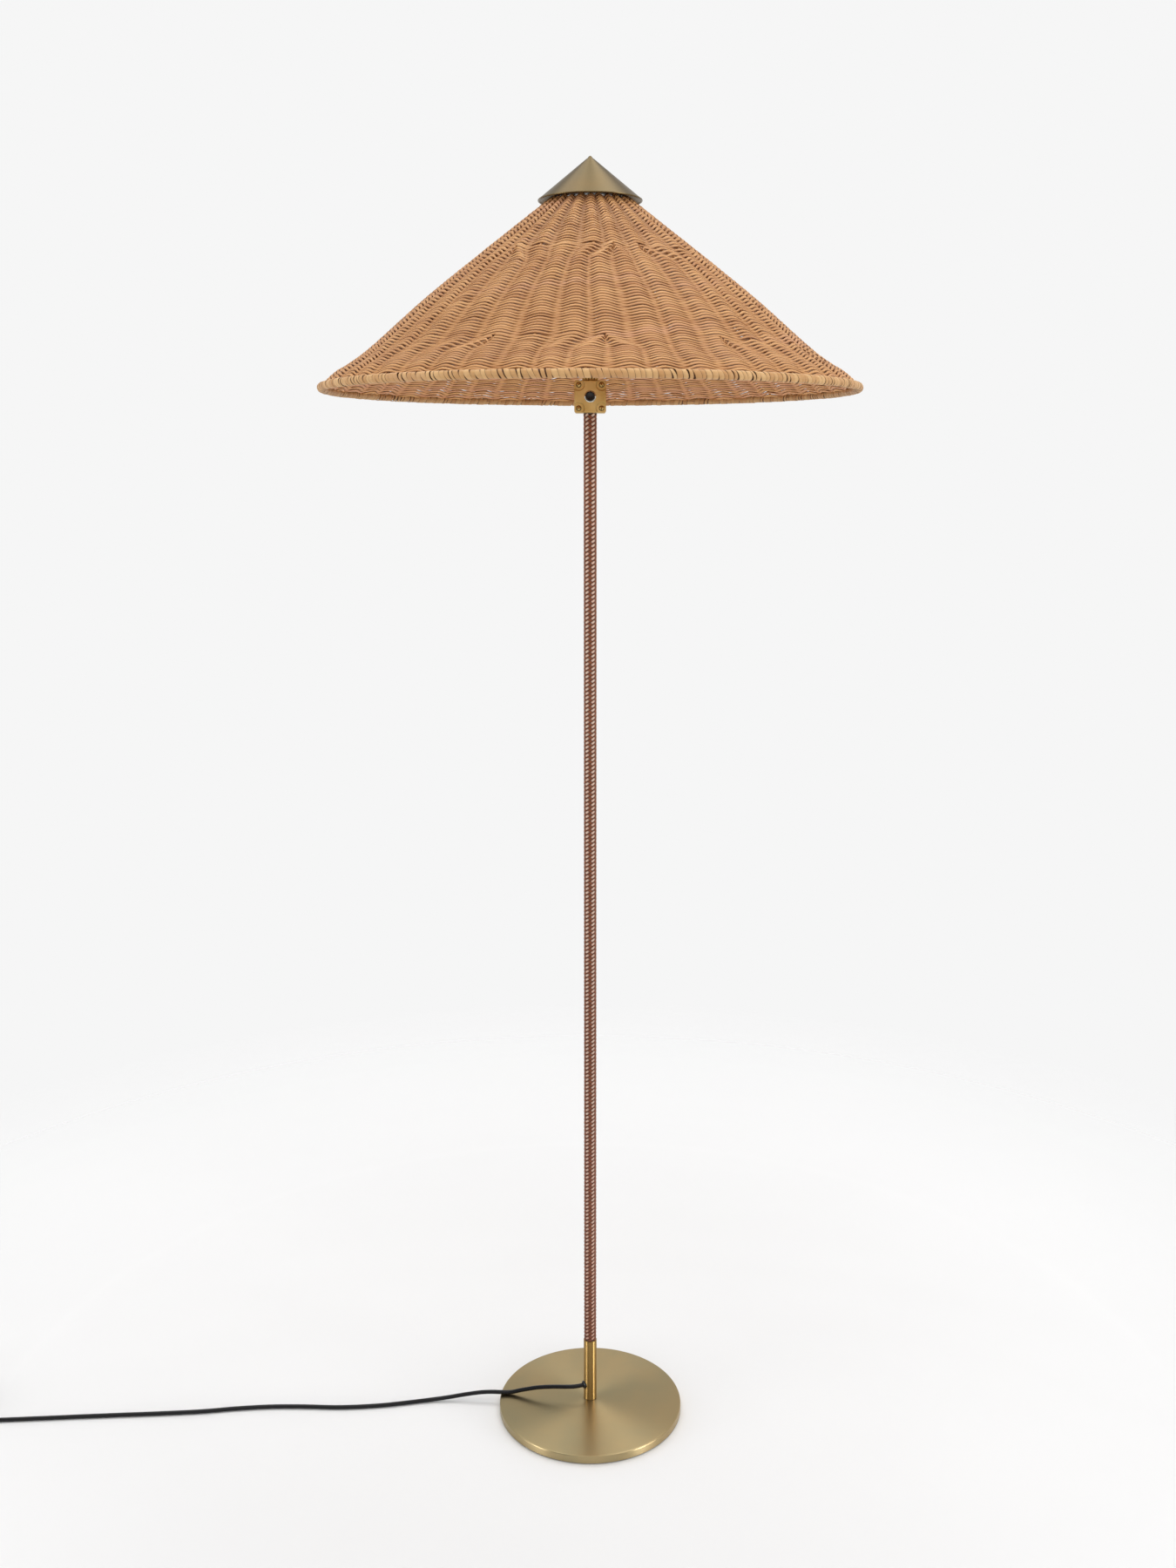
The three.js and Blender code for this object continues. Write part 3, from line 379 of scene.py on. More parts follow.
# Near white: these colours paint the braid's highlights onto the strands of one hand.
BRAID_HIGHLIGHT_COLOURS = (srgb(254, 214, 190), srgb(255, 240, 220), srgb(255, 224, 206), srgb(118, 68, 50))


def strand_finish(colours, gloss, bump):
    """Tone from strand to strand, with fibres along each, and painted shade where a strand dips."""
    dark, light, rosy, shade = colours

    def build(start):
        run = start.node("Attribute", {"attribute_name": "strand"}, output="Vector")
        fibres = noise(start, stretched(start, run, FIBRES), 1.0, 4.0, 0.6)
        patches = noise(start, stretched(start, run, PATCHES), 1.0)
        blush = noise(start, stretched(start, run, BLUSHES), 1.0)
        tone = attribute(start, "tone")
        level = TONE_SHARE * tone + PATCH_SHARE * patches + FIBRE_SHARE * fibres
        level = level.between(*LEVEL_RANGE)
        rosiness = blush.between(*BLUSH_RANGE) + tone.between(*INSIDE_BLUSH_RANGE)
        colour = rosiness.mixed(level.mixed(dark, light), rosy)
        return {
            "Base Color": attribute(start, "depth").mixed(colour, shade),
            "Roughness": uneven(gloss, fibres),
            "Normal": relief(start, fibres, *bump),
        }

    return build


rattan_strand = strand_finish(RATTAN_COLOURS, (0.42, 0.2), (0.25, 0.0002))
rattan_skin = strand_finish(BINDING_COLOURS, (0.36, 0.2), (0.2, 0.0002))
brown_yarn = strand_finish(BROWNS, (0.44, 0.14), (0.2, 0.00015))
highlight_yarn = strand_finish(BRAID_HIGHLIGHT_COLOURS, (0.44, 0.14), (0.2, 0.00015))
rattan = new_finish("rattan_strand", rattan_strand, 0.5, Specular_IOR_Level=0.5)
rattan_pale = new_finish("rattan_skin", rattan_skin, 0.45, Specular_IOR_Level=0.35)
braid_brown = new_finish("braid_brown", brown_yarn, 0.5, Specular_IOR_Level=0.2)
braid_highlight = new_finish("braid_highlight", highlight_yarn, 0.5, Specular_IOR_Level=0.2)
print("strand finishes:", [m.name for m in (rattan, rattan_pale, braid_brown, braid_highlight)])

# %% [markdown]
# ### Rubber, plastic, felt and glass
# The cord's sheath, the mouldings, the pad under the base and the bulb are plain. One colour would do,
# but a fine grain that breaks the gloss a little keeps them from looking like a drawing.

# %% Plain finishes


def black_cable(start):
    grain = noise(start, place_on_piece(start), 420.0)
    dust = noise(start, place_on_piece(start), 24.0)
    return {
        "Base Color": dust.mixed(srgb(8, 8, 10), srgb(14, 14, 17)),
        "Roughness": uneven((0.14, 0.12), grain),
        "Normal": relief(start, grain, 0.06, 0.0002),
    }


# The hoop's dark colour is painted shade: it darkens the gaps between the rim's wraps.
shaded_hoop_grain = grainy(300.0, (84, 50, 28), (118, 76, 46), (0.5, 0.2), detail=5.0, roughness=0.7)
# A dark sleeve under the braid: painted shade in the gaps between its strands.
braid_shade = grainy(500.0, (58, 34, 26), (84, 52, 40), (0.6, 0.2))
black_moulding = grainy(650.0, (9, 9, 9), (16, 16, 16), (0.24, 0.16), bump=(0.08, 0.0001))
dark_felt = grainy(
    900.0, (34, 32, 30), (62, 58, 54), (0.9, 0.1), bump=(0.6, 0.0004), detail=6.0, roughness=0.8
)
opal_glass = grainy(30.0, (238, 235, 228), (246, 244, 238), (0.16, 0.06))
hoop_in_shade = new_finish("shaded_rattan_hoop", shaded_hoop_grain, 0.6)
braid_gap_shade = new_finish("braid_shade_sleeve", braid_shade, 0.7)
cable = new_finish("black_cable", black_cable, 0.4, Specular_IOR_Level=0.3)
moulding = new_finish("black_moulding", black_moulding, 0.3)
felt = new_finish("dark_felt", dark_felt, 0.95)
opal = new_finish("opal_glass", opal_glass, 0.2)
print("plain finishes:", [m.name for m in (hoop_in_shade, braid_gap_shade, cable, moulding, felt, opal)])

# %% [markdown]
# ## From points to pieces
# Most pieces here are grids of points: a ring repeated along a line. Blender can spin and extrude by
# operators, but a grid worked out in one go is quick for thousands of strands, and needs no selection.

# %% Faces and finishes of a piece
CREASE = math.radians(38)
FLAT_CORNERS = 6  # a face with so many corners is a flat end
MERGE_DISTANCE = 1e-7


def skin(grid, along=False):
    """Faces of a grid of rings. Each ring is closed, and with along the last ring meets the first."""
    rings, points = grid.shape[:2]
    index = np.arange(rings * points).reshape(rings, points)
    index = np.hstack([index, index[:, :1]])
    if along:
        index = np.vstack([index, index[:1]])
    corners = [index[:-1, :-1], index[:-1, 1:], index[1:, 1:], index[1:, :-1]]
    return np.stack(corners, axis=-1).reshape(-1, 4)


def capped(grid):
    """Faces of a grid of rings whose first and last ring are closed by flat faces."""
    rings, points = grid.shape[:2]
    last = (rings - 1) * points
    ends = [list(range(points)), list(range(last + points - 1, last - 1, -1))]
    return skin(grid).tolist() + ends


def tidy_mesh(mesh):
    work = bmesh.new()
    work.from_mesh(mesh)
    bmesh.ops.remove_doubles(work, verts=work.verts, dist=MERGE_DISTANCE)
    bmesh.ops.recalc_face_normals(work, faces=work.faces)
    work.to_mesh(mesh)
    work.free()


def finished(piece, finish, body="lamp", stands_for=()):
    """Gives a piece its finish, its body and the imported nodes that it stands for."""
    mesh = piece.data
    if piece.type == "MESH":
        mesh.set_sharp_from_angle(angle=CREASE)
        smooth = [len(polygon.vertices) < FLAT_CORNERS for polygon in mesh.polygons]
        mesh.polygons.foreach_set("use_smooth", smooth)
    mesh.materials.append(finish)
    bpy.context.scene.collection.objects.link(piece)
    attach(piece, body)
    if stands_for:
        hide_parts(*stands_for)
    return piece


def mesh_object(name, points, faces):
    mesh = bpy.data.meshes.new(name)
    mesh.from_pydata(np.asarray(points).reshape(-1, 3).tolist(), [], faces)
    tidy_mesh(mesh)
    return bpy.data.objects.new(name, mesh)


print("a face is flat from", FLAT_CORNERS, "corners on")

# %% [markdown]
# ### Turned pieces
# Most metal and moulded pieces of a lamp are round. Blender's Screw modifier can turn an outline too.
# Here the ring of points is worked out at once, so that the outline can first get its rounded corners.

# %% Turned and softened outlines
CORNER_SHARE = 0.45  # of the shorter side at a corner, which its round may take at most


def round_angles(count):
    return np.linspace(0, FULL_TURN, count, endpoint=False)


def placed_round(radius, angle, height):
    """Points at a distance from the axis, at an angle round it and at a height."""
    parts = np.broadcast_arrays(radius * np.cos(angle), radius * np.sin(angle), height)
    return np.stack(parts, axis=-1)


def turned(name, outline, sides=96):
    """A piece turned about Z from an outline of (radius, height) in millimetres.

    An outline that starts off the axis is closed on itself.
    """
    radius, height = np.array(outline, float).T[:, :, None] * MM
    grid = placed_round(radius, round_angles(sides), height)
    return mesh_object(name, grid, skin(grid, along=outline[0][0] > 0).tolist())


def softened(outline, radius, steps=3):
    """The outline with its corners rounded, as polishing leaves them."""
    points = [np.array(p, float) for p in outline]
    result = []
    for before, corner, after in zip(points[-1:] + points[:-1], points, points[1:] + points[:1]):
        if corner[0] == 0:
            result.append(corner)
            continue
        back, on = before - corner, after - corner
        reach = min(radius, CORNER_SHARE * np.hypot(*back), CORNER_SHARE * np.hypot(*on))
        start = corner + back / np.hypot(*back) * reach
        end = corner + on / np.hypot(*on) * reach
        for share in np.linspace(0, 1, steps + 1):
            result.append((1 - share) ** 2 * start + 2 * share * (1 - share) * corner + share**2 * end)
    return [tuple(p) for p in result]


def darkened(piece, unshaded, fade):
    """Stores on each point how much painted shade it gets, from its distance to the piece's axis.

    It is unshaded up to the first distance, and quite dark one fade further out or, below 0, further in.
    """
    x, y, _ = np.array([v.co for v in piece.data.vertices]).T / MM
    depths = piece.data.attributes.new("depth", "FLOAT", "POINT")
    depths.data.foreach_set("value", np.clip((np.hypot(x, y) - unshaded) / fade, 0, 1))
    return piece


def ring_outline(inner, outer, bottom, top):
    return [(inner, bottom), (outer, bottom), (outer, top), (inner, top)]


print("a softened square has", len(softened(ring_outline(1, 2, 0, 1), 0.1)), "corners")

# %% [markdown]
# ### Lines and wires
# The cord and the wire carrier follow smooth lines. A Bezier curve through the points would bulge
# between them in its own way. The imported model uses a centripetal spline, so the same one is used here.

# %% Smooth lines and round wires
LEAST_STEP = 1e-9  # keeps two points in one place from dividing by zero


def curved_line(points, steps):
    """A smooth line through points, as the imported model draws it, with steps to each stretch."""
    places = [np.array(p, float) for p in points]
    places = [2 * places[0] - places[1], *places, 2 * places[-1] - places[-2]]
    line = []
    for a, b, c, d in zip(places, places[1:], places[2:], places[3:]):
        knots = [0.0]
        for p, q in ((a, b), (b, c), (c, d)):
            knots.append(knots[-1] + max(np.linalg.norm(q - p), LEAST_STEP) ** 0.5)
        k0, k1, k2, k3 = knots
        for t in np.linspace(k1, k2, steps, endpoint=False):
            p1 = ((k1 - t) * a + (t - k0) * b) / (k1 - k0)
            p2 = ((k2 - t) * b + (t - k1) * c) / (k2 - k1)
            p3 = ((k3 - t) * c + (t - k2) * d) / (k3 - k2)
            q1 = ((k2 - t) * p1 + (t - k0) * p2) / (k2 - k0)
            q2 = ((k3 - t) * p2 + (t - k1) * p3) / (k3 - k1)
            line.append(((k2 - t) * q1 + (t - k1) * q2) / (k2 - k1))
    return np.array([*line, places[-2]])


def line_length(line):
    return float(np.linalg.norm(np.diff(line, axis=0), axis=1).sum())


def round_wire(name, line, radius, closed=False, resolution=4):
    """A round wire or cable along a line, as a Blender curve with a bevel."""
    curve = bpy.data.curves.new(name, "CURVE")
    curve.dimensions = "3D"
    curve.bevel_depth = radius
    curve.bevel_resolution = resolution
    curve.use_fill_caps = True
    spline = curve.splines.new("POLY")
    spline.points.add(len(line) - 1)
    for point, place in zip(spline.points, line):
        point.co = (*place, 1)
    spline.use_cyclic_u = closed
    spline.use_smooth = True
    return bpy.data.objects.new(name, curve)


print("a quarter bend is", round(line_length(curved_line([(1, 0), (0.7, 0.7), (0, 1)], 8)), 3), "long")

# %% [markdown]
# ## The cord
# A round black two-core lead leaves a bush in the foot tube, drops over the edge of the disc and runs
# along the floor to the left. The photograph shows some 0.7 m of it. Such lamps have about 2 m, so the
# rest is put away in a neat flat coil just outside the view, with a strap and a plug. A curve with a
# round bevel is the plain way to model it, and its own line gives its length.

# %% Cord route and coil
CORD_DIAMETER = 5 * MM
CORD_ROUTE = [  # chosen along the photographed line
    (-4.1, -1.9, 32),
    (-10.4, -4.9, 32),
    (-18, -7, 31.8),
    (-30, -6, 30.6),
    (-46, -2, 28.1),
    (-65, 2.5, 24.2),
    (-85, 6.6, 18.2),
    (-99, 8.5, 14),
    (-110, 9.3, 13.3),
    (-124, 10.4, 13),
    (-138, 11.4, 11.6),
    (-158, 11.8, 8.4),
    (-178, 11, 5.2),
    (-201, 9, 3),
    (-228, 4, 2.6),
    (-255, -1, 2.6),
    (-285, -4.4, 2.6),
    (-317, -5.8, 2.6),
    (-359, -4.2, 2.6),
    (-400, -4.6, 2.6),
    (-441, -8.4, 2.6),
    (-480, -14, 2.6),
    (-534, -18.4, 2.6),
    (-582, -21.4, 2.6),
    (-630, -24.6, 2.6),
    (-680, -28.2, 2.6),
    (-726, -31.2, 2.6),
    (-760, -33.3, 3.1),
    (-785, -34, 3.7),
]
COIL_TURNS = 6.25
COIL_PITCH = 5.6
COIL_RISE = 5.5  # from the lower layer of turns to the upper one
COIL_INNER_RADIUS = 21.25
COIL_STEPS = 36  # to a turn
COIL_CLIMB = 0.25  # turns before and after the middle, in which the cord rises
TAIL_LENGTH = 25
TAIL_DROP = 2.3
TAIL_SHARES = [(0.3, 0.15), (0.7, 0.95), (0.8, 1), (1, 1)]  # of its length and its drop
FIT = 0.3
ROUTE_STEPS = 6
WOUND_STEPS = 2

ENTRY_X, ENTRY_Y, ENTRY_Z = CORD_ROUTE[-1]
COIL_MIDDLE = COIL_TURNS / 2
COIL_OUTER_RADIUS = COIL_INNER_RADIUS + COIL_PITCH * COIL_MIDDLE
COIL_X = ENTRY_X - FIT - CORD_DIAMETER / MM
COIL_Y = ENTRY_Y + COIL_OUTER_RADIUS


def coil_place(turns):
    """Where the cord is after a number of turns: inwards on the lower layer, outwards on the upper."""
    angle = -math.pi / 2 - turns * FULL_TURN
    radius = COIL_INNER_RADIUS + COIL_PITCH * abs(turns - COIL_MIDDLE)
    share = min(max((turns - COIL_MIDDLE + COIL_CLIMB) / (2 * COIL_CLIMB), 0), 1)
    height = ENTRY_Z + COIL_RISE * share * share * (3 - 2 * share)
    return (COIL_X + radius * math.cos(angle), COIL_Y + radius * math.sin(angle), height)


def wound_points():
    loops = [coil_place(i / COIL_STEPS) for i in range(round(COIL_TURNS * COIL_STEPS) + 1)]
    end_x, end_y, end_z = loops[-1]
    tail = [
        (end_x, end_y + TAIL_LENGTH * length, end_z - TAIL_DROP * drop) for length, drop in TAIL_SHARES
    ]
    return [*loops, *tail]


cord_stretches = [curved_line(CORD_ROUTE, ROUTE_STEPS), curved_line(wound_points(), WOUND_STEPS)]
cord_line = np.vstack(cord_stretches) * MM
cord = round_wire("cord", cord_line, CORD_DIAMETER / 2)
finished(cord, cable, stands_for=("cord_run", "cord_coil"))

# %% [markdown]
# ### The strap
# It holds all the loops together on the far side of the coil. It could be a bevelled curve as the cord
# is, but a flat band needs a flat section: that section is carried round a path with rounded corners.

# %% Strap
STRAP_THICKNESS = 0.8
STRAP_BEND = 2.8
STRAP_STEPS = 32
STRAP_SOFTNESS = 0.4  # share of its thickness, by which its edges are rounded
AXIS_DIGITS = 6  # a cosine that is zero to so many digits is zero


def cord_strap():
    low, high = (np.array(corner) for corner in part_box("cord_tie"))
    middle, half = (low + high) / 2, (high - low) / 2
    thickness, corner = STRAP_THICKNESS * MM, STRAP_BEND * MM
    reach = half[1:] - thickness / 2 - corner
    angle = round_angles(STRAP_STEPS)
    out = np.stack([np.cos(angle), np.sin(angle)], axis=-1)
    path = np.sign(np.round(out, AXIS_DIGITS)) * reach + corner * out
    section = [(-half[0], -1), (half[0], -1), (half[0], 1), (-half[0], 1)]
    rings = []
    for x, side in softened(section, STRAP_SOFTNESS * thickness):
        yz = path + out * side * thickness / 2
        rings.append(np.column_stack([np.full(len(yz), x), yz]))
    grid = np.array(rings) + middle
    return mesh_object("cord_strap", grid, skin(grid, along=True).tolist())


strap = finished(cord_strap(), cable, stands_for=("cord_tie",))
print("strap faces", len(strap.data.polygons))

# %% [markdown]
# ### The plug
# It is a flat moulded body with rounded edges, a ribbed sleeve that keeps the cord from bending
# sharply, and two round pins. A block with a Bevel modifier would be too boxy, so the body is a row of
# sections, each of its own width and height, between an ellipse and a rectangle.

# %% Plug
PLUG_SLEEVE = [(0, 3.4), (1.5, 3.7), (22.5, 4.9), (24, 5)]  # distance along the plug, radius
PLUG_RIBS = 6
RIB_DEPTH = 0.35
RIB_STEPS = 4
PLUG_BODY = [(24.4, 8, 4.6), (25.2, 9.4, 5.6), (27, 11.6, 6.4), (33, 15.6, 6.8), (40, 17.4, 6.85)]
PLUG_FRONT = [(56, 17.6, 6.85), (58.8, 17.4, 6.7), (60, 16.6, 6)]  # distance, half width, half height
PLUG_FULLNESS = 0.62
PLUG_BACK_RADIUS = 2.6
POINT_RADIUS = 0.01  # closes an end
PIN_RADIUS = 2
PIN_TIP = [(2, 1.2), (1.7, 0.4), (0.9, 0), (0, 0)]  # radius, distance from the tip
PLUG_X = cord_line[-1][0]
PLUG_Y = 30.05 * MM
PLUG_Z = 6.9 * MM


def rounded_section(half_width, half_height, fullness, sides=40):
    """A closed curve between an ellipse (fullness 1) and a rectangle (fullness near 0)."""
    angle = round_angles(sides)
    cosine, sine = np.cos(angle), np.sin(angle)
    x = half_width * np.sign(cosine) * np.abs(cosine) ** fullness
    z = half_height * np.sign(sine) * np.abs(sine) ** fullness
    return x, z


def plug_sections():
    """Distance, half width, half height and fullness of each section, from the cord to the front."""
    sections = [(0, PLUG_BACK_RADIUS, PLUG_BACK_RADIUS, 1.0)]
    for start, end in zip(PLUG_SLEEVE, PLUG_SLEEVE[1:]):
        for share in np.linspace(0, 1, RIB_STEPS * PLUG_RIBS, endpoint=False):
            y = start[0] + (end[0] - start[0]) * share
            radius = start[1] + (end[1] - start[1]) * share
            ribbed = PLUG_SLEEVE[1][0] < y < PLUG_SLEEVE[2][0]
            rib = RIB_DEPTH * ribbed * (0.5 + 0.5 * math.cos(FULL_TURN * PLUG_RIBS * share))
            sections.append((y, radius - rib, radius - rib, 1.0))
    sections += [(*section, PLUG_FULLNESS) for section in PLUG_BODY + PLUG_FRONT]
    return sections + [(PLUG_FRONT[-1][0], POINT_RADIUS, POINT_RADIUS, PLUG_FULLNESS)]


def plug_shape():
    rings = []
    for y, *section in plug_sections():
        x, z = rounded_section(*section)
        rings.append(np.column_stack([x, np.full(len(x), y), z]))
    grid = np.array(rings) * MM + np.array([PLUG_X, PLUG_Y, PLUG_Z])
    return mesh_object("plug", grid, skin(grid).tolist())


def plug_pin(node):
    low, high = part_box(node)
    length = (high.y - low.y) / MM
    outline = [(0, 0), (PIN_RADIUS, 0)] + [(radius, length - back) for radius, back in PIN_TIP]
    pin = turned("pin_" + node[-1], outline, 32)
    turn = np.array([(v.co.x, v.co.z, v.co.y) for v in pin.data.vertices])
    turn += np.array([(low.x + high.x) / 2, low.y, (low.z + high.z) / 2])
    pin.data.vertices.foreach_set("co", turn.ravel())
    pin.data.flip_normals()
    return finished(pin, nickel, stands_for=(node,))


plug = finished(plug_shape(), moulding, stands_for=("plug_body",))
pins = [plug_pin("plug_pin_1"), plug_pin("plug_pin_2")]
print("plug at", [round(v, 3) for v in plug.bound_box[0]])

# %% [markdown]
# ## The base
# A sheet brass disc, spun over a form, covers an iron weight. Its top rises a little towards the tube
# and its edge turns down with a small round. An outline turned about the axis gives it all at once.

# %% Disc and pad
BASE_RADIUS = 112.5
EDGE_ROUND = 1.6
EDGE_HEIGHT = 10.5
EDGE_STEPS = 9
CROWN = 2.5
CROWN_STEPS = 24
SEAT_RADIUS = 10
SHEET = 1.5
DISC_BORE = 4.4
INSIDE_RADII = (40, 80)
SKIRT_BOTTOM = 0.8
SKIRT_LIP = [(-SHEET, 0.3), (-1.1, 0), (-0.5, 0), (0, 0.5)]  # from the disc's edge, above the skirt's end
PAD_OUTLINE = [(0, 0), (106.2, 0), (106.5, 0.4), (106.5, 1.1), (106.2, 1.5), (0, 1.5)]


def crown_height(radius):
    share = max(0, radius - SEAT_RADIUS) / (BASE_RADIUS - EDGE_ROUND - SEAT_RADIUS)
    return EDGE_HEIGHT + CROWN * (1 - share * share)


def base_disc():
    edge = [
        (
            BASE_RADIUS - EDGE_ROUND * (1 - math.cos(angle)),
            EDGE_HEIGHT - EDGE_ROUND * (1 - math.sin(angle)),
        )
        for angle in np.linspace(0, math.pi / 2, EDGE_STEPS)
    ]
    crown_radii = np.linspace(BASE_RADIUS - EDGE_ROUND, DISC_BORE, CROWN_STEPS)[1:]
    crown = [(radius, crown_height(radius)) for radius in crown_radii]
    inside_radii = (DISC_BORE, *INSIDE_RADII, BASE_RADIUS - 2 * EDGE_ROUND)
    inside = [(radius, crown_height(radius) - SHEET) for radius in inside_radii]
    inside += [(BASE_RADIUS - SHEET, EDGE_HEIGHT - 2 * SHEET)]
    lip = [(BASE_RADIUS + out, SKIRT_BOTTOM + rise) for out, rise in SKIRT_LIP]
    return turned("base_disc", lip + edge + crown + inside, 192)


disc = finished(base_disc(), spun, stands_for=("base_cover",))
pad_piece = turned("base_felt", PAD_OUTLINE, 128)
finished(pad_piece, felt, stands_for=("base_pad",))
print("disc", round(disc.dimensions.x / MM, 1), "mm across, faces", len(disc.data.polygons))

# %% [markdown]
# ### Foot tube and bush
# The tube is turned as the disc is, and the cord's hole is then cut through its wall. Cutting could stay
# a modifier, but taking its result at once leaves a plain mesh. The black bush is turned about Z and laid
# into the direction in which the cord leaves.

# %% Foot tube and bush
FOOT_OUTLINE = [(5.8, 13.3), (8, 13.3), (8, 91.8), (5.8, 91.8)]
FOOT_SOFTNESS = 0.5
TUBE_HOLE = [(0, 2), (3.9, 2), (3.9, 12), (0, 12)]
BUSH_OUTLINE = [(2.8, 5.8), (3.6, 5.8), (3.6, 8.3), (4.7, 8.3), (4.7, 8.9), (4.4, 9.4)]
BUSH_OUTLINE += [(3.8, 9.9), (3.3, 10), (2.9, 9.8)]
CORD_HEIGHT = 32
CORD_ANGLE = math.radians(180 + 25)


def cut_out(piece, cutter):
    """Takes the cutter's volume away from the piece."""
    scene = bpy.context.scene.collection.objects
    for each in (piece, cutter):
        scene.link(each)
    boolean = piece.modifiers.new("cut", "BOOLEAN")
    boolean.operation = "DIFFERENCE"
    boolean.object = cutter
    boolean.solver = "EXACT"
    graph = bpy.context.evaluated_depsgraph_get()
    mesh = bpy.data.meshes.new_from_object(piece.evaluated_get(graph))
    piece.modifiers.clear()
    piece.data = mesh
    for each in (piece, cutter):
        scene.unlink(each)
    bpy.data.objects.remove(cutter)
    return piece


def towards_cord(piece):
    """Lays a piece turned about Z into the direction in which the cord leaves the tube."""
    outward = Vector((math.cos(CORD_ANGLE), math.sin(CORD_ANGLE), 0))
    turn = outward.to_track_quat("Z", "Y").to_matrix().to_4x4()
    turn.translation = (0, 0, CORD_HEIGHT * MM)
    piece.data.transform(turn)
    return piece


def foot_tube():
    tube = turned("base_tube", softened(FOOT_OUTLINE, FOOT_SOFTNESS))
    return cut_out(tube, towards_cord(turned("hole", TUBE_HOLE, 48)))


foot = finished(foot_tube(), turned_tube, stands_for=("foot_tube",))
bush = towards_cord(turned("grommet", BUSH_OUTLINE, 48))
finished(bush, moulding, stands_for=("cord_grommet",))
print("tube faces", len(foot.data.polygons), "and bush faces", len(bush.data.polygons))

# %% [markdown]
# ## Strands
# The braid, the weave, its stakes and the wound rim are all strands: a flat section carried along a line.
# Curves with a bevel would do for a few of them. Thousands go better into one mesh, where every point
# stores the strand's tone, the painted shade at its edges and its own length for the finish.

# %% Many strands in one mesh
SECTION_STEPS = 8
SECTION = round_angles(SECTION_STEPS)
SECTION_RUN = np.arange(SECTION_STEPS)


def unit(vectors):
    return vectors / np.linalg.norm(vectors, axis=1, keepdims=True)


def strand_grid(line, radial, width, thickness):
    """Rings of a flat strand along a line. Radial points out of the surface that it lies on."""
    across = unit(np.cross(unit(np.gradient(line, axis=0)), radial))
    side = across[:, None] * np.cos(SECTION)[:, None] * width
    up = radial[:, None] * np.sin(SECTION)[:, None] * thickness
    return line[:, None] + side + up


def edge_shade(sharpness):
    """Painted shade: 1 at both edges of a strand and 0 along its middle."""
    return np.abs(np.cos(SECTION)) ** sharpness


class Strands:
    """Gathers the rings of many strands, then makes one mesh with each strand's tone stored."""

    def __init__(self):
        self.points, self.faces, self.values = [], [], []
        self.count = 0

    def add(self, grid, tone, depth, run, closed=False):
        shape = grid.shape[:2]
        self.points.append(grid.reshape(-1, 3))
        self.faces.append(skin(grid, along=closed) + self.count)
        self.count += shape[0] * shape[1]
        self.values.append([np.broadcast_to(v, shape).ravel() for v in (tone, depth, *run)])

    def piece(self, name):
        points = np.vstack(self.points) * MM
        faces = np.vstack(self.faces)
        mesh = bpy.data.meshes.new(name)
        mesh.vertices.add(len(points))
        mesh.vertices.foreach_set("co", points.ravel())
        mesh.loops.add(faces.size)
        mesh.loops.foreach_set("vertex_index", faces.ravel())
        mesh.polygons.add(len(faces))
        mesh.polygons.foreach_set("loop_start", np.arange(0, faces.size, 4))
        mesh.update()
        tone, depth, *run = (np.concatenate(values) for values in zip(*self.values))
        for key, values in (("tone", tone), ("depth", depth)):
            mesh.attributes.new(key, "FLOAT", "POINT").data.foreach_set("value", values)
        run = np.column_stack(run) * MM
        mesh.attributes.new("strand", "FLOAT_VECTOR", "POINT").data.foreach_set("vector", run.ravel())
        return bpy.data.objects.new(name, mesh)


print("edges of a strand:", np.round(edge_shade(3), 2))

# %% [markdown]
# ## The stem's braid
# Six strands wind one way and six brown ones the other way, each over one and under one. The first six
# are painted near white: where one is on top it shows as a pale dot, a painted highlight of the lamps at
# the sides, and the dots stand in straight columns round the stem.
# A texture of dots would look printed, so the strands are real: two helices of opposite hand, whose
# distance from the axis swings up and down with the angle.

# %% Braid
BRAID_STRANDS = 6
BRAID_LEAD = 28.9
BRAID_STEPS = 26
BRAID_RADIUS = 6.95
BRAID_SWING = 0.38
BRAID_END = 0.6
STRAND_THICKNESS = 0.34
HIGHLIGHT_STRAND_WIDTH = 1.42
BROWN_WIDTH = 1.75
BRAID_TURN = math.radians(-90 - 31)  # brings two columns of painted highlights to the front
BRAID_TONES = (0.5, 0.25, 2.4)  # middle, swing, and the angle from strand to strand
BRAID_RUN = 0.4  # from point to point across a strand
BRAID_SEED = 50.0  # sets the fibres of two strands apart
LOW_SHADE = 0.5  # painted shade: the braid grows darker towards the floor
STEM_BOTTOM = 92.1
STEM_TOP = 1215.4
CORE_OUTLINE = ring_outline(5.8, 6.6, STEM_BOTTOM, STEM_TOP)
CORE_SOFTNESS = 0.2


def braid_strand(hand, index):
    """The rings of one strand, in millimetres, and its lift over the other hand from -1 to 1."""
    turns = (STEM_TOP - STEM_BOTTOM) / BRAID_LEAD
    height = np.linspace(STEM_BOTTOM + BRAID_END, STEM_TOP - BRAID_END, round(turns * BRAID_STEPS))
    angle = hand * height / BRAID_LEAD * FULL_TURN + index * FULL_TURN / BRAID_STRANDS
    lift = hand * np.cos(BRAID_STRANDS * angle)
    place = angle + BRAID_TURN
    line = placed_round(BRAID_RADIUS + BRAID_SWING * lift, place, height)
    width = HIGHLIGHT_STRAND_WIDTH if hand > 0 else BROWN_WIDTH
    return strand_grid(line, placed_round(1, place, 0), width, STRAND_THICKNESS), lift


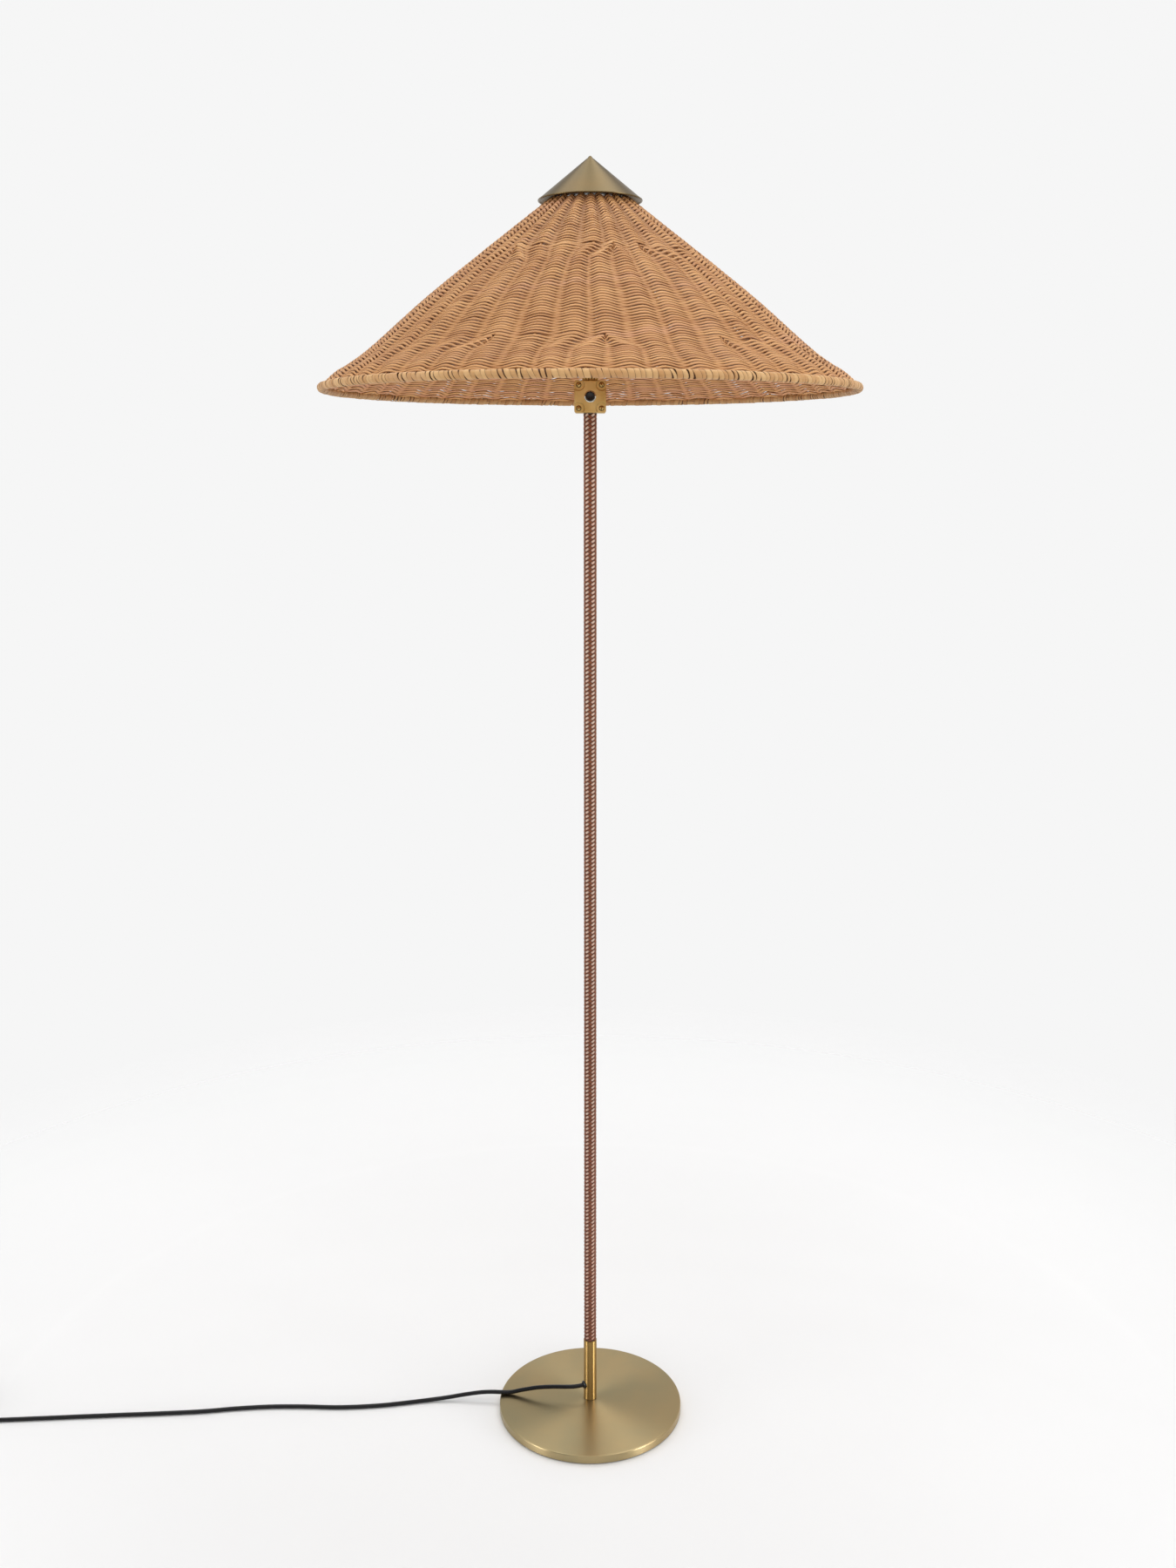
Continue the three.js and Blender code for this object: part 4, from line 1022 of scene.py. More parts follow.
def braid_piece(name, hand):
    strands = Strands()
    middle, swing, step = BRAID_TONES
    for index in range(BRAID_STRANDS):
        grid, lift = braid_strand(hand, index)
        lower_shade = LOW_SHADE * np.linspace(1, 0, len(grid))[:, None] ** 2
        # Painted shade: at a strand's edges, where it dips under the other hand, and more towards the
        # floor.
        depth = np.maximum(edge_shade(3), 0.5 - 0.5 * lift[:, None]) + lower_shade
        along = np.arange(len(grid))[:, None] * BRAID_LEAD / BRAID_STEPS
        tone = middle + swing * math.sin(index * step)
        run = (along, SECTION_RUN * BRAID_RUN, BRAID_SEED * index)
        strands.add(grid, tone, np.minimum(depth, 1), run)
    return strands.piece(name)


highlight_strands = braid_piece("highlight_strands", 1)
brown_strands = braid_piece("brown_strands", -1)
finished(highlight_strands, braid_highlight, stands_for=("stem_cover",))
finished(brown_strands, braid_brown)
# The dark sleeve under the strands is painted shade, seen in the gaps between them.
core = turned("braid_shade_sleeve", softened(CORE_OUTLINE, CORE_SOFTNESS), 48)
finished(core, braid_gap_shade)
print("braid faces:", len(highlight_strands.data.polygons) + len(brown_strands.data.polygons))

# %% [markdown]
# ## The switch box
# The box is a square brass tray with its open side to the front. A plate closes it. The plate's raised
# face is scooped out at each corner, so that a slotted screw can sit there. Both are flat outlines with
# levels: the same outline is repeated at several depths, each moved in a little where an edge is round.

# %% Box and plate
BOX_Z = 1233.3
BOX_HALF = 17.6
BOX_WALL = 1.6
BOX_CORNER = 2.5
CORNER_STEPS = 6
CORNER_SIGNS = [(1, 1), (-1, 1), (-1, -1), (1, -1)]
SCREW_PLACE = 12.7
SCOOP_RADIUS = 6
SCOOP_STEPS = 20
FACE_INSET = 0.4
# each level is a depth, with the front at negative ones, and an inset
BOX_LEVELS = [(11.1, BOX_WALL), (-12.7, BOX_WALL), (-12.7, 0), (12.1, 0), (12.5, 0.15), (12.7, 0.6)]
PLATE_LEVELS = [(-13, 0.15), (-13.2, 0), (-14.2, 0), (-14.5, 0.3)]
FACE_LEVELS = [(-14.5, 0), (-16.3, 0), (-16.7, 0.12), (-16.92, 0.38), (-17, 0.75)]


def arc_points(x, y, radius, start, end, steps):
    angles = np.radians(np.linspace(start, end, steps + 1))
    return [(x + radius * math.cos(a), y + radius * math.sin(a)) for a in angles]


def square_outline(inset):
    """The square with rounded corners, moved in by the inset."""
    reach = BOX_HALF - BOX_CORNER
    points = []
    for i, (x, z) in enumerate(CORNER_SIGNS):
        start = 90 * i
        points += arc_points(x * reach, z * reach, BOX_CORNER - inset, start, start + 90, CORNER_STEPS)
    return points


def scooped_outline(inset):
    """A square whose corners are hollowed out round the screws, moved in by the inset."""
    radius = SCOOP_RADIUS + inset
    bend = math.degrees(math.acos((BOX_HALF - FACE_INSET - inset - SCREW_PLACE) / radius))
    points = []
    for i, (x, z) in enumerate(CORNER_SIGNS):
        start = 90 * i - bend
        end = start - 270 + 2 * bend
        points += arc_points(x * SCREW_PLACE, z * SCREW_PLACE, radius, start, end, SCOOP_STEPS)
    return points


def levelled(name, outline, levels):
    """A flat piece that faces the front: the outline at each level, with both ends closed."""
    rings = []
    for depth, inset in levels:
        x, z = np.array(outline(inset)).T
        rings.append(np.column_stack([x, np.full(len(x), depth), z + BOX_Z]))
    grid = np.array(rings) * MM
    return mesh_object(name, grid, capped(grid))


box = levelled("box_shell", square_outline, BOX_LEVELS)
plate = levelled("switch_plate", square_outline, PLATE_LEVELS)
face = levelled("raised_face", scooped_outline, FACE_LEVELS)
finished(box, satin, stands_for=("switch_box",))
finished(plate, satin, stands_for=("switch_cover",))
finished(face, satin)
print("scoops meet the sides at", [round(v, 2) for v in scooped_outline(0)[0]])

# %% [markdown]
# ### The four screws
# Each has a low domed head with a slot. The slot could be modelled into the outline of the head, but
# cutting it out with a block is how it is made. Every slot points its own way, as a hand leaves it.

# %% Screws
SCREWS = [(-1, 1, 35), (1, 1, -62), (-1, -1, 12), (1, -1, 78)]  # sides, and the slot's turn in degrees
SCREW_HEAD = [(0, 14.6), (3, 14.6), (3, 15.5), (2.85, 15.9), (2.5, 16.35), (1.9, 16.65)]
SCREW_HEAD += [(1, 16.85), (0, 16.9)]
SLOT = ((-3.5, 3.5), (-0.35, 0.35), (16, 18))  # its ends along X, Y and Z
SCREW_UNSHADED = 1.96
SCREW_FADE = 0.7


def block(xs, ys, zs):
    points = [(x, y, z) for x in xs for y in ys for z in zs]
    faces = [(0, 1, 3, 2), (4, 6, 7, 5), (0, 4, 5, 1), (2, 3, 7, 6), (0, 2, 6, 4), (1, 5, 7, 3)]
    return np.array(points) * MM, faces


def facing_front(piece, x=0, z=0, turn=0):
    """Turns a piece made about Z so that its top faces the front, at a place on the switch box."""
    right, up, front = np.array([v.co for v in piece.data.vertices]).T
    cosine, sine = math.cos(turn), math.sin(turn)
    across = right * cosine - up * sine + x * MM
    height = right * sine + up * cosine + (z + BOX_Z) * MM
    piece.data.vertices.foreach_set("co", np.column_stack([across, -front, height]).ravel())
    return piece


def slotted_screw(name, x, z, slot):
    screw = turned(name, SCREW_HEAD, 40)
    cut_out(screw, mesh_object("slot", *block(*SLOT)))
    # Painted shade, with some patina, round the rim of the head.
    darkened(screw, SCREW_UNSHADED, SCREW_FADE)
    return facing_front(screw, x * SCREW_PLACE, z * SCREW_PLACE, math.radians(slot))


for number, placing in enumerate(SCREWS, 1):
    screw = slotted_screw(f"screw_{number}", *placing)
    finished(screw, satin, stands_for=(f"cover_screw_{number}",))
print("faces of a screw:", len(screw.data.polygons))

# %% [markdown]
# ### The push button and its ring
# The button slides 2.5 mm into the box. It rides on its own body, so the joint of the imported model
# moves it. Its top is slightly dished with a rounded rim, which gives the faint ring of light on it.

# %% Button and ring
BUTTON_OUTLINE = [(0, 8.8), (2.5, 8.8), (2.5, 15.8), (5.15, 15.8), (5.15, 20.6), (5, 21.1)]
BUTTON_OUTLINE += [(4.7, 21.4), (4.3, 21.5), (3.9, 21.42), (3.4, 21.2), (2.4, 21.02), (0, 20.95)]
RING_OUTLINE = [(5.4, 17.3), (6.65, 17.3), (6.65, 17.6), (6.5, 17.9), (5.75, 18.8), (5.55, 18.9)]
RING_OUTLINE += [(5.4, 18.8)]

button = facing_front(turned("push_button", BUTTON_OUTLINE, 64))
bezel = facing_front(turned("button_ring", RING_OUTLINE, 64))
finished(button, moulding, body="push_button", stands_for=("switch_button",))
finished(bezel, nickel, stands_for=("switch_bezel",))
print("button", round(button.dimensions.x / MM, 1), "mm across")

# %% [markdown]
# ## The collar
# A fluted brass collar joins the box and the lamp holder. Its flutes could be cut out one by one. A
# formula for the radius gives all sixteen, with round hollows and narrow ridges.

# %% Collar
COLLAR_RADIUS = 9.2
FLUTES = 16
FLUTE_STEPS = 12
FLUTE_DEPTH = 1.1
FLUTE_UNSHADED = 0.2  # a ridge is free of painted shade so far down
COLLAR_LEVELS = [
    (3.8, 1251.2, 0),
    (1.2, 1251.2, 0),
    (0.3, 1251.5, 0.5),
    (0, 1252.2, 1),
    (0, 1262.2, 1),
    (0.3, 1262.9, 0.5),
    (1.2, 1263.2, 0),
    (3.8, 1263.2, 0),
]  # (inset, height, share of the flute)


def fluted_collar():
    angle = round_angles(FLUTES * FLUTE_STEPS)
    flute = FLUTE_DEPTH * (0.5 - 0.5 * np.cos(FLUTES * angle)) ** 2
    rings = []
    for inset, height, share in COLLAR_LEVELS:
        rings.append(placed_round(COLLAR_RADIUS - inset - flute * share, angle, height))
    grid = np.array(rings) * MM
    collar = mesh_object("fluted_collar", grid, skin(grid, along=True).tolist())
    # Painted shade in the hollows of the flutes.
    return darkened(collar, COLLAR_RADIUS - FLUTE_UNSHADED, -FLUTE_DEPTH)


collar = finished(fluted_collar(), satin, stands_for=("knurled_collar",))
print("collar faces", len(collar.data.polygons))

# %% [markdown]
# ## Lamp holder and bulb
# The holder has a domed cap, a straight shell and a ring that clamps the shade's carrier. They hide
# inside the shade, but show from below, so each is turned to its real outline. The bulb is a round opal
# one with a metal screw base.

# %% Holder and bulb
HOLDER_CAP = [(5.4, 1263.5), (8, 1263.5), (11.5, 1264.2), (14.6, 1266.4), (16.3, 1269.8)]
HOLDER_CAP += [(17.1, 1272), (17.5, 1274.9), (16.3, 1274.9), (15.2, 1270.4), (13.4, 1267.2)]
HOLDER_CAP += [(10.8, 1265.4), (5.4, 1264.8)]
HOLDER_SHELL = [(8, 1275.2), (17.5, 1275.2), (17.5, 1288.8), (17.9, 1289.2), (20, 1289.2)]
HOLDER_SHELL += [(20, 1291.2), (17.5, 1291.2), (17.5, 1309.2), (14.4, 1309.2), (14.4, 1280.2)]
HOLDER_SHELL += [(8, 1280.2)]
HOLDER_RING = ring_outline(17.8, 22.5, 1293.8, 1300.8)
HOLDER_SOFTNESS = 0.4
CLAMP_SOFTNESS = 0.6
BULB_CONTACT = [(0, 1280.5), (4, 1280.6), (9, 1282), (12, 1284.5)]
BULB_BASE_TOP = [(13, 1309.5), (0, 1309.5)]
THREAD_RADIUS = 13
THREAD_DEPTH = 1.1
THREAD_RIDGES = 5
THREAD_STEPS = 61
THREAD_BOTTOM = 1286
THREAD_LENGTH = 20
BULB_NECK = [(13.6, 1309.8), (14, 1312), (14.6, 1320), (17, 1331), (20.6, 1338.6)]
BULB_CENTRE = 1361.8
BULB_RADIUS = 30
BULB_GLASS = 1
GLOBE_START = -40  # degrees, where the neck meets the globe
GLOBE_STEPS = 33


def bulb_base():
    """The metal base, with the rounded ridges of its screw."""
    share = np.linspace(0, 1, THREAD_STEPS)
    wave = 0.5 - 0.5 * np.cos(FULL_TURN * share * THREAD_RIDGES)
    ridges = zip(THREAD_RADIUS - THREAD_DEPTH * wave, THREAD_BOTTOM + THREAD_LENGTH * share)
    return turned("bulb_base", [*BULB_CONTACT, *ridges, *BULB_BASE_TOP], 64)


def bulb_globe():
    globe = arc_points(0, BULB_CENTRE, BULB_RADIUS, GLOBE_START, 90, GLOBE_STEPS)
    top = BULB_CENTRE + BULB_RADIUS
    outside = BULB_NECK + globe[:-1]
    inside = [(max(radius - BULB_GLASS, 0), height) for radius, height in reversed(outside)]
    return turned("bulb_globe", [*outside, (0, top), (0, top - BULB_GLASS), *inside])


holder_cap = turned("holder_cup", softened(HOLDER_CAP, HOLDER_SOFTNESS))
holder_shell = turned("holder_sleeve", softened(HOLDER_SHELL, HOLDER_SOFTNESS))
holder_ring = turned("holder_clamp", softened(HOLDER_RING, CLAMP_SOFTNESS))
finished(holder_cap, satin, stands_for=("holder_cap",))
finished(holder_shell, moulding, stands_for=("holder_shell",))
finished(holder_ring, moulding, stands_for=("holder_ring",))
finished(bulb_base(), nickel, stands_for=("bulb_cap",))
bulb = finished(bulb_globe(), opal, stands_for=("bulb_glass",))
print("bulb top", round(max(v.co.z for v in bulb.data.vertices) / MM, 1), "mm")

# %% [markdown]
# ## The cap
# A cone of sheet brass, spun to a blunt tip, with a rolled edge that looks like a thin wire round it.
# Blender's own cone has neither the roll nor a thickness, so the outline is drawn and turned.

# %% Cap
CAP_RADIUS = 57.3
CAP_RIM = 1443
CAP_TIP = 1490
CAP_SHEET = 1.8  # measured upright
CAP_ROLL = 0.9
CAP_ROLL_ARC = (170, 390, 22)  # degrees and steps
CAP_FLANK = (0.6, 4.4)  # starts outside the roll's middle, ends at this radius
CAP_BLUNT = [(3.4, 3.1), (2.4, 1.9), (1.2, 0.5), (POINT_RADIUS, 0)]  # radius, distance under the tip
CAP_INSIDE = (POINT_RADIUS, 20, 40)


def cap_cone():
    slope = CAP_RADIUS / (CAP_TIP - CAP_RIM)
    foot = CAP_RADIUS - CAP_ROLL
    roll = arc_points(foot, CAP_RIM, CAP_ROLL, *CAP_ROLL_ARC)
    flank = [(r, CAP_TIP - r / slope) for r in np.linspace(foot + CAP_FLANK[0], CAP_FLANK[1], 12)]
    tip = [(radius, CAP_TIP - drop) for radius, drop in CAP_BLUNT]
    inside = [(r, CAP_TIP - CAP_SHEET - r / slope) for r in (*CAP_INSIDE, foot - 3)]
    return turned("brass_cap", roll + flank + tip + inside, 144)


cap = finished(cap_cone(), spun_cap, stands_for=("cap_cone",))
print("cap", round(cap.dimensions.x / MM, 1), "mm across")

# %% [markdown]
# ## The wire carrier
# Three bent wires carry the shade. They run from a flat ring under the holder up to a top ring, and a
# bar across that ring takes the cap's screw. Welded wire is a curve with a round bevel.

# %% Carrier
ARM_ANGLES = [30, 150, 270]
ARM_LINE = [(24, 1292.5), (32.5, 1296.5), (38.5, 1308.5), (38.5, 1368), (38.5, 1431.6)]
ARM_LINE += [(40.3, 1443.6)]
ARM_STEPS = 8
TOP_RING_RADIUS = 42.3
TOP_RING_HEIGHT = 1443.6
TOP_RING_STEPS = 72
WIRE_RADIUS = 2 * MM
LOW_RING = ring_outline(17.8, 26, 1291.5, 1293.5)
LOW_RING_SOFTNESS = 0.5
BAR_LENGTH, BAR_WIDTH, BAR_THICKNESS = 84.6, 12, 2
BAR_HEIGHT = 1445.6
BAR_FULLNESS = 0.3
BAR_SIDES = 24
BAR_ROUND = (0.5, 0.4)  # an end's edge is rounded so far along the bar, and so far in


def carrier_arm(angle):
    radius, height = np.array(ARM_LINE).T
    points = placed_round(radius, math.radians(angle), height)
    return round_wire(f"carrier_arm_{angle}", curved_line(points, ARM_STEPS) * MM, WIRE_RADIUS)


def top_ring():
    line = placed_round(TOP_RING_RADIUS, round_angles(TOP_RING_STEPS), TOP_RING_HEIGHT) * MM
    return round_wire("top_ring", line, WIRE_RADIUS, closed=True)


def carrier_bar():
    end, (along, inwards) = BAR_LENGTH / 2, BAR_ROUND
    rings = []
    for x, inset in ((-end, inwards), (along - end, 0), (end - along, 0), (end, inwards)):
        half_width, half_height = BAR_WIDTH / 2 - inset, BAR_THICKNESS / 2 - inset
        y, z = rounded_section(half_width, half_height, BAR_FULLNESS, BAR_SIDES)
        rings.append(np.column_stack([np.full(BAR_SIDES, x), y, z + BAR_HEIGHT]))
    grid = np.array(rings) * MM
    return mesh_object("carrier_bar", grid, capped(grid))


low_ring = turned("carrier_ring", softened(LOW_RING, LOW_RING_SOFTNESS))
finished(low_ring, steel, stands_for=("shade_frame",))
for piece in [carrier_arm(angle) for angle in ARM_ANGLES] + [top_ring(), carrier_bar()]:
    finished(piece, steel)
print("carrier ring faces:", len(low_ring.data.polygons))

# %% [markdown]
# ## The woven shade
# Stakes run down the cone like spokes, and more are added where the cone widens. Flat strands of split
# rattan go round, over one stake and under the next, and each row does the opposite of the row below.
# A texture could draw it too, but real strands give the deep lines, the ragged inside and the true edge.
# First come the cone's slightly bulging profile and the angles of the stakes on it.

# %% Shade's shape and stakes' angles
SHADE_TOP = (42.3, 1443.6)
SHADE_RIM = (294.5, 1241)
SHADE_SHARES = [(0, 0), (0.539, 0.53), (0.808, 0.822), (0.892, 0.896), (0.943, 0.935), (1, 1)]
PROFILE_STEPS = 40
SECTORS = 10
FIRST_STAKES = 3
SPLITS = (104, 260)
SPREAD = 26
BESIDE_SHARE = 0.02
UNEVEN_SHARE = 0.12
WOBBLE = 0.006  # radians by which a stake wanders
WOBBLE_LENGTH = 26


def shade_profile():
    """Places down the slope, each with its distance from the top, and the outward direction there."""
    (top_r, top_z), (rim_r, rim_z) = SHADE_TOP, SHADE_RIM
    points = [
        (top_r + (rim_r - top_r) * out, top_z + (rim_z - top_z) * down) for out, down in SHADE_SHARES
    ]
    line = curved_line(points, PROFILE_STEPS)
    step = np.diff(line, axis=0)
    run = np.concatenate([[0], np.cumsum(np.hypot(*step.T))])
    tangent = np.gradient(line, run, axis=0)
    return run, line, unit(np.column_stack([-tangent[:, 1], tangent[:, 0]]))


run, profile, outward = shade_profile()
SLOPE = float(run[-1])


def on_shade(down, angle, out):
    """Points on the shade: a distance down the slope, an angle round it and a distance outwards."""
    radius = np.interp(down, run, profile[:, 0]) + out * np.interp(down, run, outward[:, 0])
    height = np.interp(down, run, profile[:, 1]) + out * np.interp(down, run, outward[:, 1])
    return placed_round(radius, angle, height)


def eased(share):
    """A share from 0 to 1 that starts and ends gently."""
    return share * share * (3 - 2 * share)


def even_shares(count, sector):
    """Shares of a sector at which its stakes stand when it has that many, a little uneven."""
    return [
        (i + 0.5 + UNEVEN_SHARE * math.sin(4 * sector + 2 * i + count)) / count for i in range(count)
    ]


def stake_angles(down):
    """The angles of all stakes at a way down the slope. A new stake starts beside its neighbour."""
    angles = []
    for sector in range(SECTORS):
        shares = even_shares(FIRST_STAKES, sector)
        for split in [split for split in SPLITS if down >= split]:
            even = even_shares(len(shares) + 1, sector)
            neighbour = (7 * sector + len(even)) % len(shares)
            shares.insert(neighbour, shares[neighbour] - BESIDE_SHARE)
            spread = eased(min((down - split) / SPREAD, 1))
            shares = [share + (goal - share) * spread for share, goal in zip(shares, even)]
        angles += [(sector + share) * FULL_TURN / SECTORS for share in shares]
    angles = np.array(angles)
    return angles + WOBBLE * np.sin(down / WOBBLE_LENGTH + 5 * angles)


print("slope", round(SLOPE, 1), "mm, stakes", [len(stake_angles(d)) for d in (0, 150, 300)])

# %% [markdown]
# ### As uneven as hands leave it
# Woven by hand, a row wanders, fills its room well or badly, and shares slow waves with its neighbours.
# A noise for each point would look like dirt. These values change smoothly round the shade instead.

# %% Uneven rows
SAG_WAVES = [(0.8, 9, 17, 0), (0.6, 23, -12, 1.3)]  # height, waves in a turn, length down, shift
TIGHT, LOOSE, LOOSE_SHARE = (0.66, 0.95), (0.0, 0.4), 0.2
rng = np.random.default_rng(7)


def smooth_random(count, angle, low, high):
    """A random value that changes smoothly round the shade, with count knots in a full turn."""
    knots = rng.uniform(low, high, count)
    place = (angle / FULL_TURN * count) % count
    first = place.astype(int) % count
    share = eased(place - np.floor(place))
    return knots[first] * (1 - share) + knots[(first + 1) % count] * share


def tightness(count, angle):
    """How well a row fills its room at each angle: mostly well, and now and then with a wide gap."""
    loose = smooth_random(count, angle, 0, 1) < LOOSE_SHARE
    return np.where(loose, smooth_random(count, angle, *LOOSE), smooth_random(count, angle, *TIGHT))


def sag(down, angle):
    """Slow waves that neighbouring rows share."""
    return sum(
        height * np.sin(waves * angle + down / length + shift)
        for height, waves, length, shift in SAG_WAVES
    )


print("sag at the front", round(float(sag(150, -math.pi / 2)), 2), "mm")

# %% [markdown]
# ### Over one, under one
# A row passes each stake on one side and crosses the wall half way to the next, so its offset is a
# cosine from stake to stake. It is widest where it lies alone over its stake. It could be one spiral,
# as woven, but closed rings look the same and let every row start with its own tone.

# %% Rows of weaving
ROW_PITCHES = [(0, 2.62), (75, 2.58), (165, 2.36), (255, 2.1), (320, 2.04)]
WEAVE_START = 4
WEAVE_END = 6
STEPS_PER_STAKE = 8
WEAVE_BANDS = 5
WEAVE_OFFSET = 1.55
STRAND_HALF = 1.0
ARCH = 1.9
DRIFT = (29, -0.3, 0.3)  # knots in a turn, and the range down the slope
LIFT = (31, -0.12, 0.12)  # knots in a turn, and the range outwards
TONE_KNOTS = 17
CROSSING_HALF = 0.57  # of the row's pitch
CROSSING_SHARPNESS = 1.15
CROSSING_SHADES = [(0, 0.8), (50, 0.5), (120, 0.22), (320, 0.12)]  # painted shade between two stakes, by the way down the slope
STAKE_HALF = 0.4  # more, where a strand lies alone over its stake
EDGE_SHADE = 0.9  # painted shade at a strand's two edges
EDGE_SHARPNESS = 3.5
COVERED_SHADE = 0.75  # painted shade on a strand's face that lies behind a stake
WEAVER_TONE = 0.12  # the two strands that are woven in turn differ in tone by twice this
WEAVER_LENGTH = 40
WEAVER_SEED = 31.0  # sets the fibres of two rows apart
INSIDE_PAINTED_LIGHT = 0.8  # painted light: the strands' inner sides are lighter, as the lit inside of the lampshade
INSIDE_SHADE = 0.4  # share of the painted shade that they show
SECTION_SIDE = np.sign(np.round(np.sin(SECTION), AXIS_DIGITS))  # 1 outside, -1 inside, 0 at an edge


def row_places():
    """Distances down the slope at which the rows lie."""
    places = [WEAVE_START]
    downs, pitches = zip(*ROW_PITCHES)
    while places[-1] < SLOPE - WEAVE_END:
        places.append(places[-1] + float(np.interp(places[-1], downs, pitches)))
    return np.array(places)


def row_angles(stakes):
    ends = np.append(stakes[1:], stakes[0] + FULL_TURN)
    share = np.arange(STEPS_PER_STAKE) / STEPS_PER_STAKE
    return (stakes[:, None] + (ends - stakes)[:, None] * share).ravel()


def row_offset(stakes, index, angle):
    """Side of the stakes on which a row lies at each angle: 1 outside, -1 inside."""
    turned_back = np.concatenate([[stakes[-1] - FULL_TURN], stakes, [stakes[0] + FULL_TURN]])
    angle = (angle - turned_back[0]) % FULL_TURN + turned_back[0]
    slot_number = np.clip(np.searchsorted(turned_back, angle, side="right") - 1, 0, len(stakes))
    width = turned_back[slot_number + 1] - turned_back[slot_number]
    share = (angle - turned_back[slot_number]) / width
    sign = np.where((slot_number + index) % 2 == 0, 1.0, -1.0)
    wave = np.cos(math.pi * share)
    return sign * np.sign(wave) * np.abs(wave) ** CROSSING_SHARPNESS, share


def row_line(index, down, pitch):
    """A row's angles, its middle down the slope, half its width and its side of the stakes."""
    stakes = stake_angles(down)
    angle = row_angles(stakes)
    offset, share = row_offset(stakes, index, angle)
    above, _ = row_offset(stake_angles(down - pitch), index - 1, angle)
    below, _ = row_offset(stake_angles(down + pitch), index + 1, angle)
    room = (np.abs(offset - above) + np.abs(offset - below)) / 4
    room = room * tightness(len(stakes), angle)
    half = pitch * (CROSSING_HALF + STAKE_HALF * room)
    knots, *drift = DRIFT
    arch = ARCH * np.cos(FULL_TURN * share)
    middle = down - arch + sag(down, angle) + smooth_random(knots, angle, *drift)
    return angle, middle, half, offset


def row_tone(index, down, angle):
    """A tone for the whole row, slow changes round it, the difference of the two weavers and painted
    light on the inner sides.
    """
    tone = 0.5 * rng.uniform() + 0.5 * smooth_random(TONE_KNOTS, angle, 0, 1)
    tone = tone + WEAVER_TONE * (-1) ** index * math.sin(down / WEAVER_LENGTH + 1)
    return tone[:, None] + INSIDE_PAINTED_LIGHT * (SECTION_SIDE < 0)


# Painted shade: at a strand's edges, on its face behind a stake, and where rows cross between stakes.
def row_shade(down, offset):
    covered = np.clip(-offset[:, None] * SECTION_SIDE, 0, 1) * COVERED_SHADE
    crossing = np.interp(down, *zip(*CROSSING_SHADES)) * (1 - np.abs(offset[:, None]))
    depth = np.maximum(EDGE_SHADE * edge_shade(EDGE_SHARPNESS), covered + crossing)
    return depth * np.where(SECTION_SIDE < 0, INSIDE_SHADE, 1)


def add_row(strands, index, down, pitch):
    angle, middle, half, offset = row_line(index, down, pitch)
    knots, *lift = LIFT
    out = WEAVE_OFFSET * offset + smooth_random(knots, angle, *lift)
    run_across = half[:, None] * np.cos(SECTION)
    outward_place = out[:, None] + STRAND_HALF * np.sin(SECTION)
    grid = on_shade(middle[:, None] + run_across, angle[:, None], outward_place)
    run_along = (angle * np.interp(down, run, profile[:, 0]))[:, None]
    tone = row_tone(index, down, angle)
    strand_run = (run_along, run_across, WEAVER_SEED * index)
    strands.add(grid, tone, row_shade(down, offset), strand_run, closed=True)


def weave_bands():
    """All rows, in a few pieces of moderate size from the cap down to the rim."""
    places = row_places()
    bands = [Strands() for _ in range(WEAVE_BANDS)]
    for index, (down, pitch) in enumerate(zip(places, np.gradient(places))):
        add_row(bands[index * WEAVE_BANDS // len(places)], index, down, pitch)
    return [band.piece(f"weave_{number}") for number, band in enumerate(bands, 1)]


weave = weave_bands()
for band in weave:
    finished(band, rattan)
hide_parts("shade_weave")
print("rows", len(row_places()), "faces", [len(band.data.polygons) for band in weave])

# %% [markdown]
# ### The stakes
# They only show as ribs under the rows and through the gaps. A stake follows its own angle down the
# slope, from the split at which it starts. It could be a curve, but as a strand it shares the finish.

# %% Stakes
STAKE_RADIUS = 1.5
STAKE_FLATNESS = 0.8
STAKE_STEPS = 24
STAKE_END = 3
STAKE_TONE = 0.4
# Painted shade on the stakes, which show only through the gaps between the rows.
STAKE_SHADE = 0.35
STAKE_RUN = 0.6
STAKE_SEED = 17.0
BEFORE_SPLIT = 0.01


def stake_strands():
    strands = Strands()
    bands = [(WEAVE_START, SPLITS[0]), SPLITS, (SPLITS[1], SLOPE - STAKE_END)]
    for start, end in bands:
        downs = np.linspace(start, end, STAKE_STEPS)
        table = np.array([stake_angles(min(down, end - BEFORE_SPLIT)) for down in downs])
        for number, angle in enumerate(table.T):
            line = on_shade(downs, angle, 0)
            radial = on_shade(downs, angle, 1) - line
            grid = strand_grid(line, radial, STAKE_RADIUS, STAKE_RADIUS * STAKE_FLATNESS)
            run = (downs[:, None], SECTION_RUN * STAKE_RUN, STAKE_SEED * number)
            strands.add(grid, STAKE_TONE, STAKE_SHADE, run)
    return strands.piece("stakes")


stakes_piece = finished(stake_strands(), rattan)
print("stake faces", len(stakes_piece.data.polygons))

# %% [markdown]
# ### The wrapped rim
# A strip of pale rattan is wound round the hoop that holds the weave's edge. One long helix would turn
# too evenly. Here each turn is its own closed band, a little slanted and uneven in width, so that the
# dark gap between some turns is real.

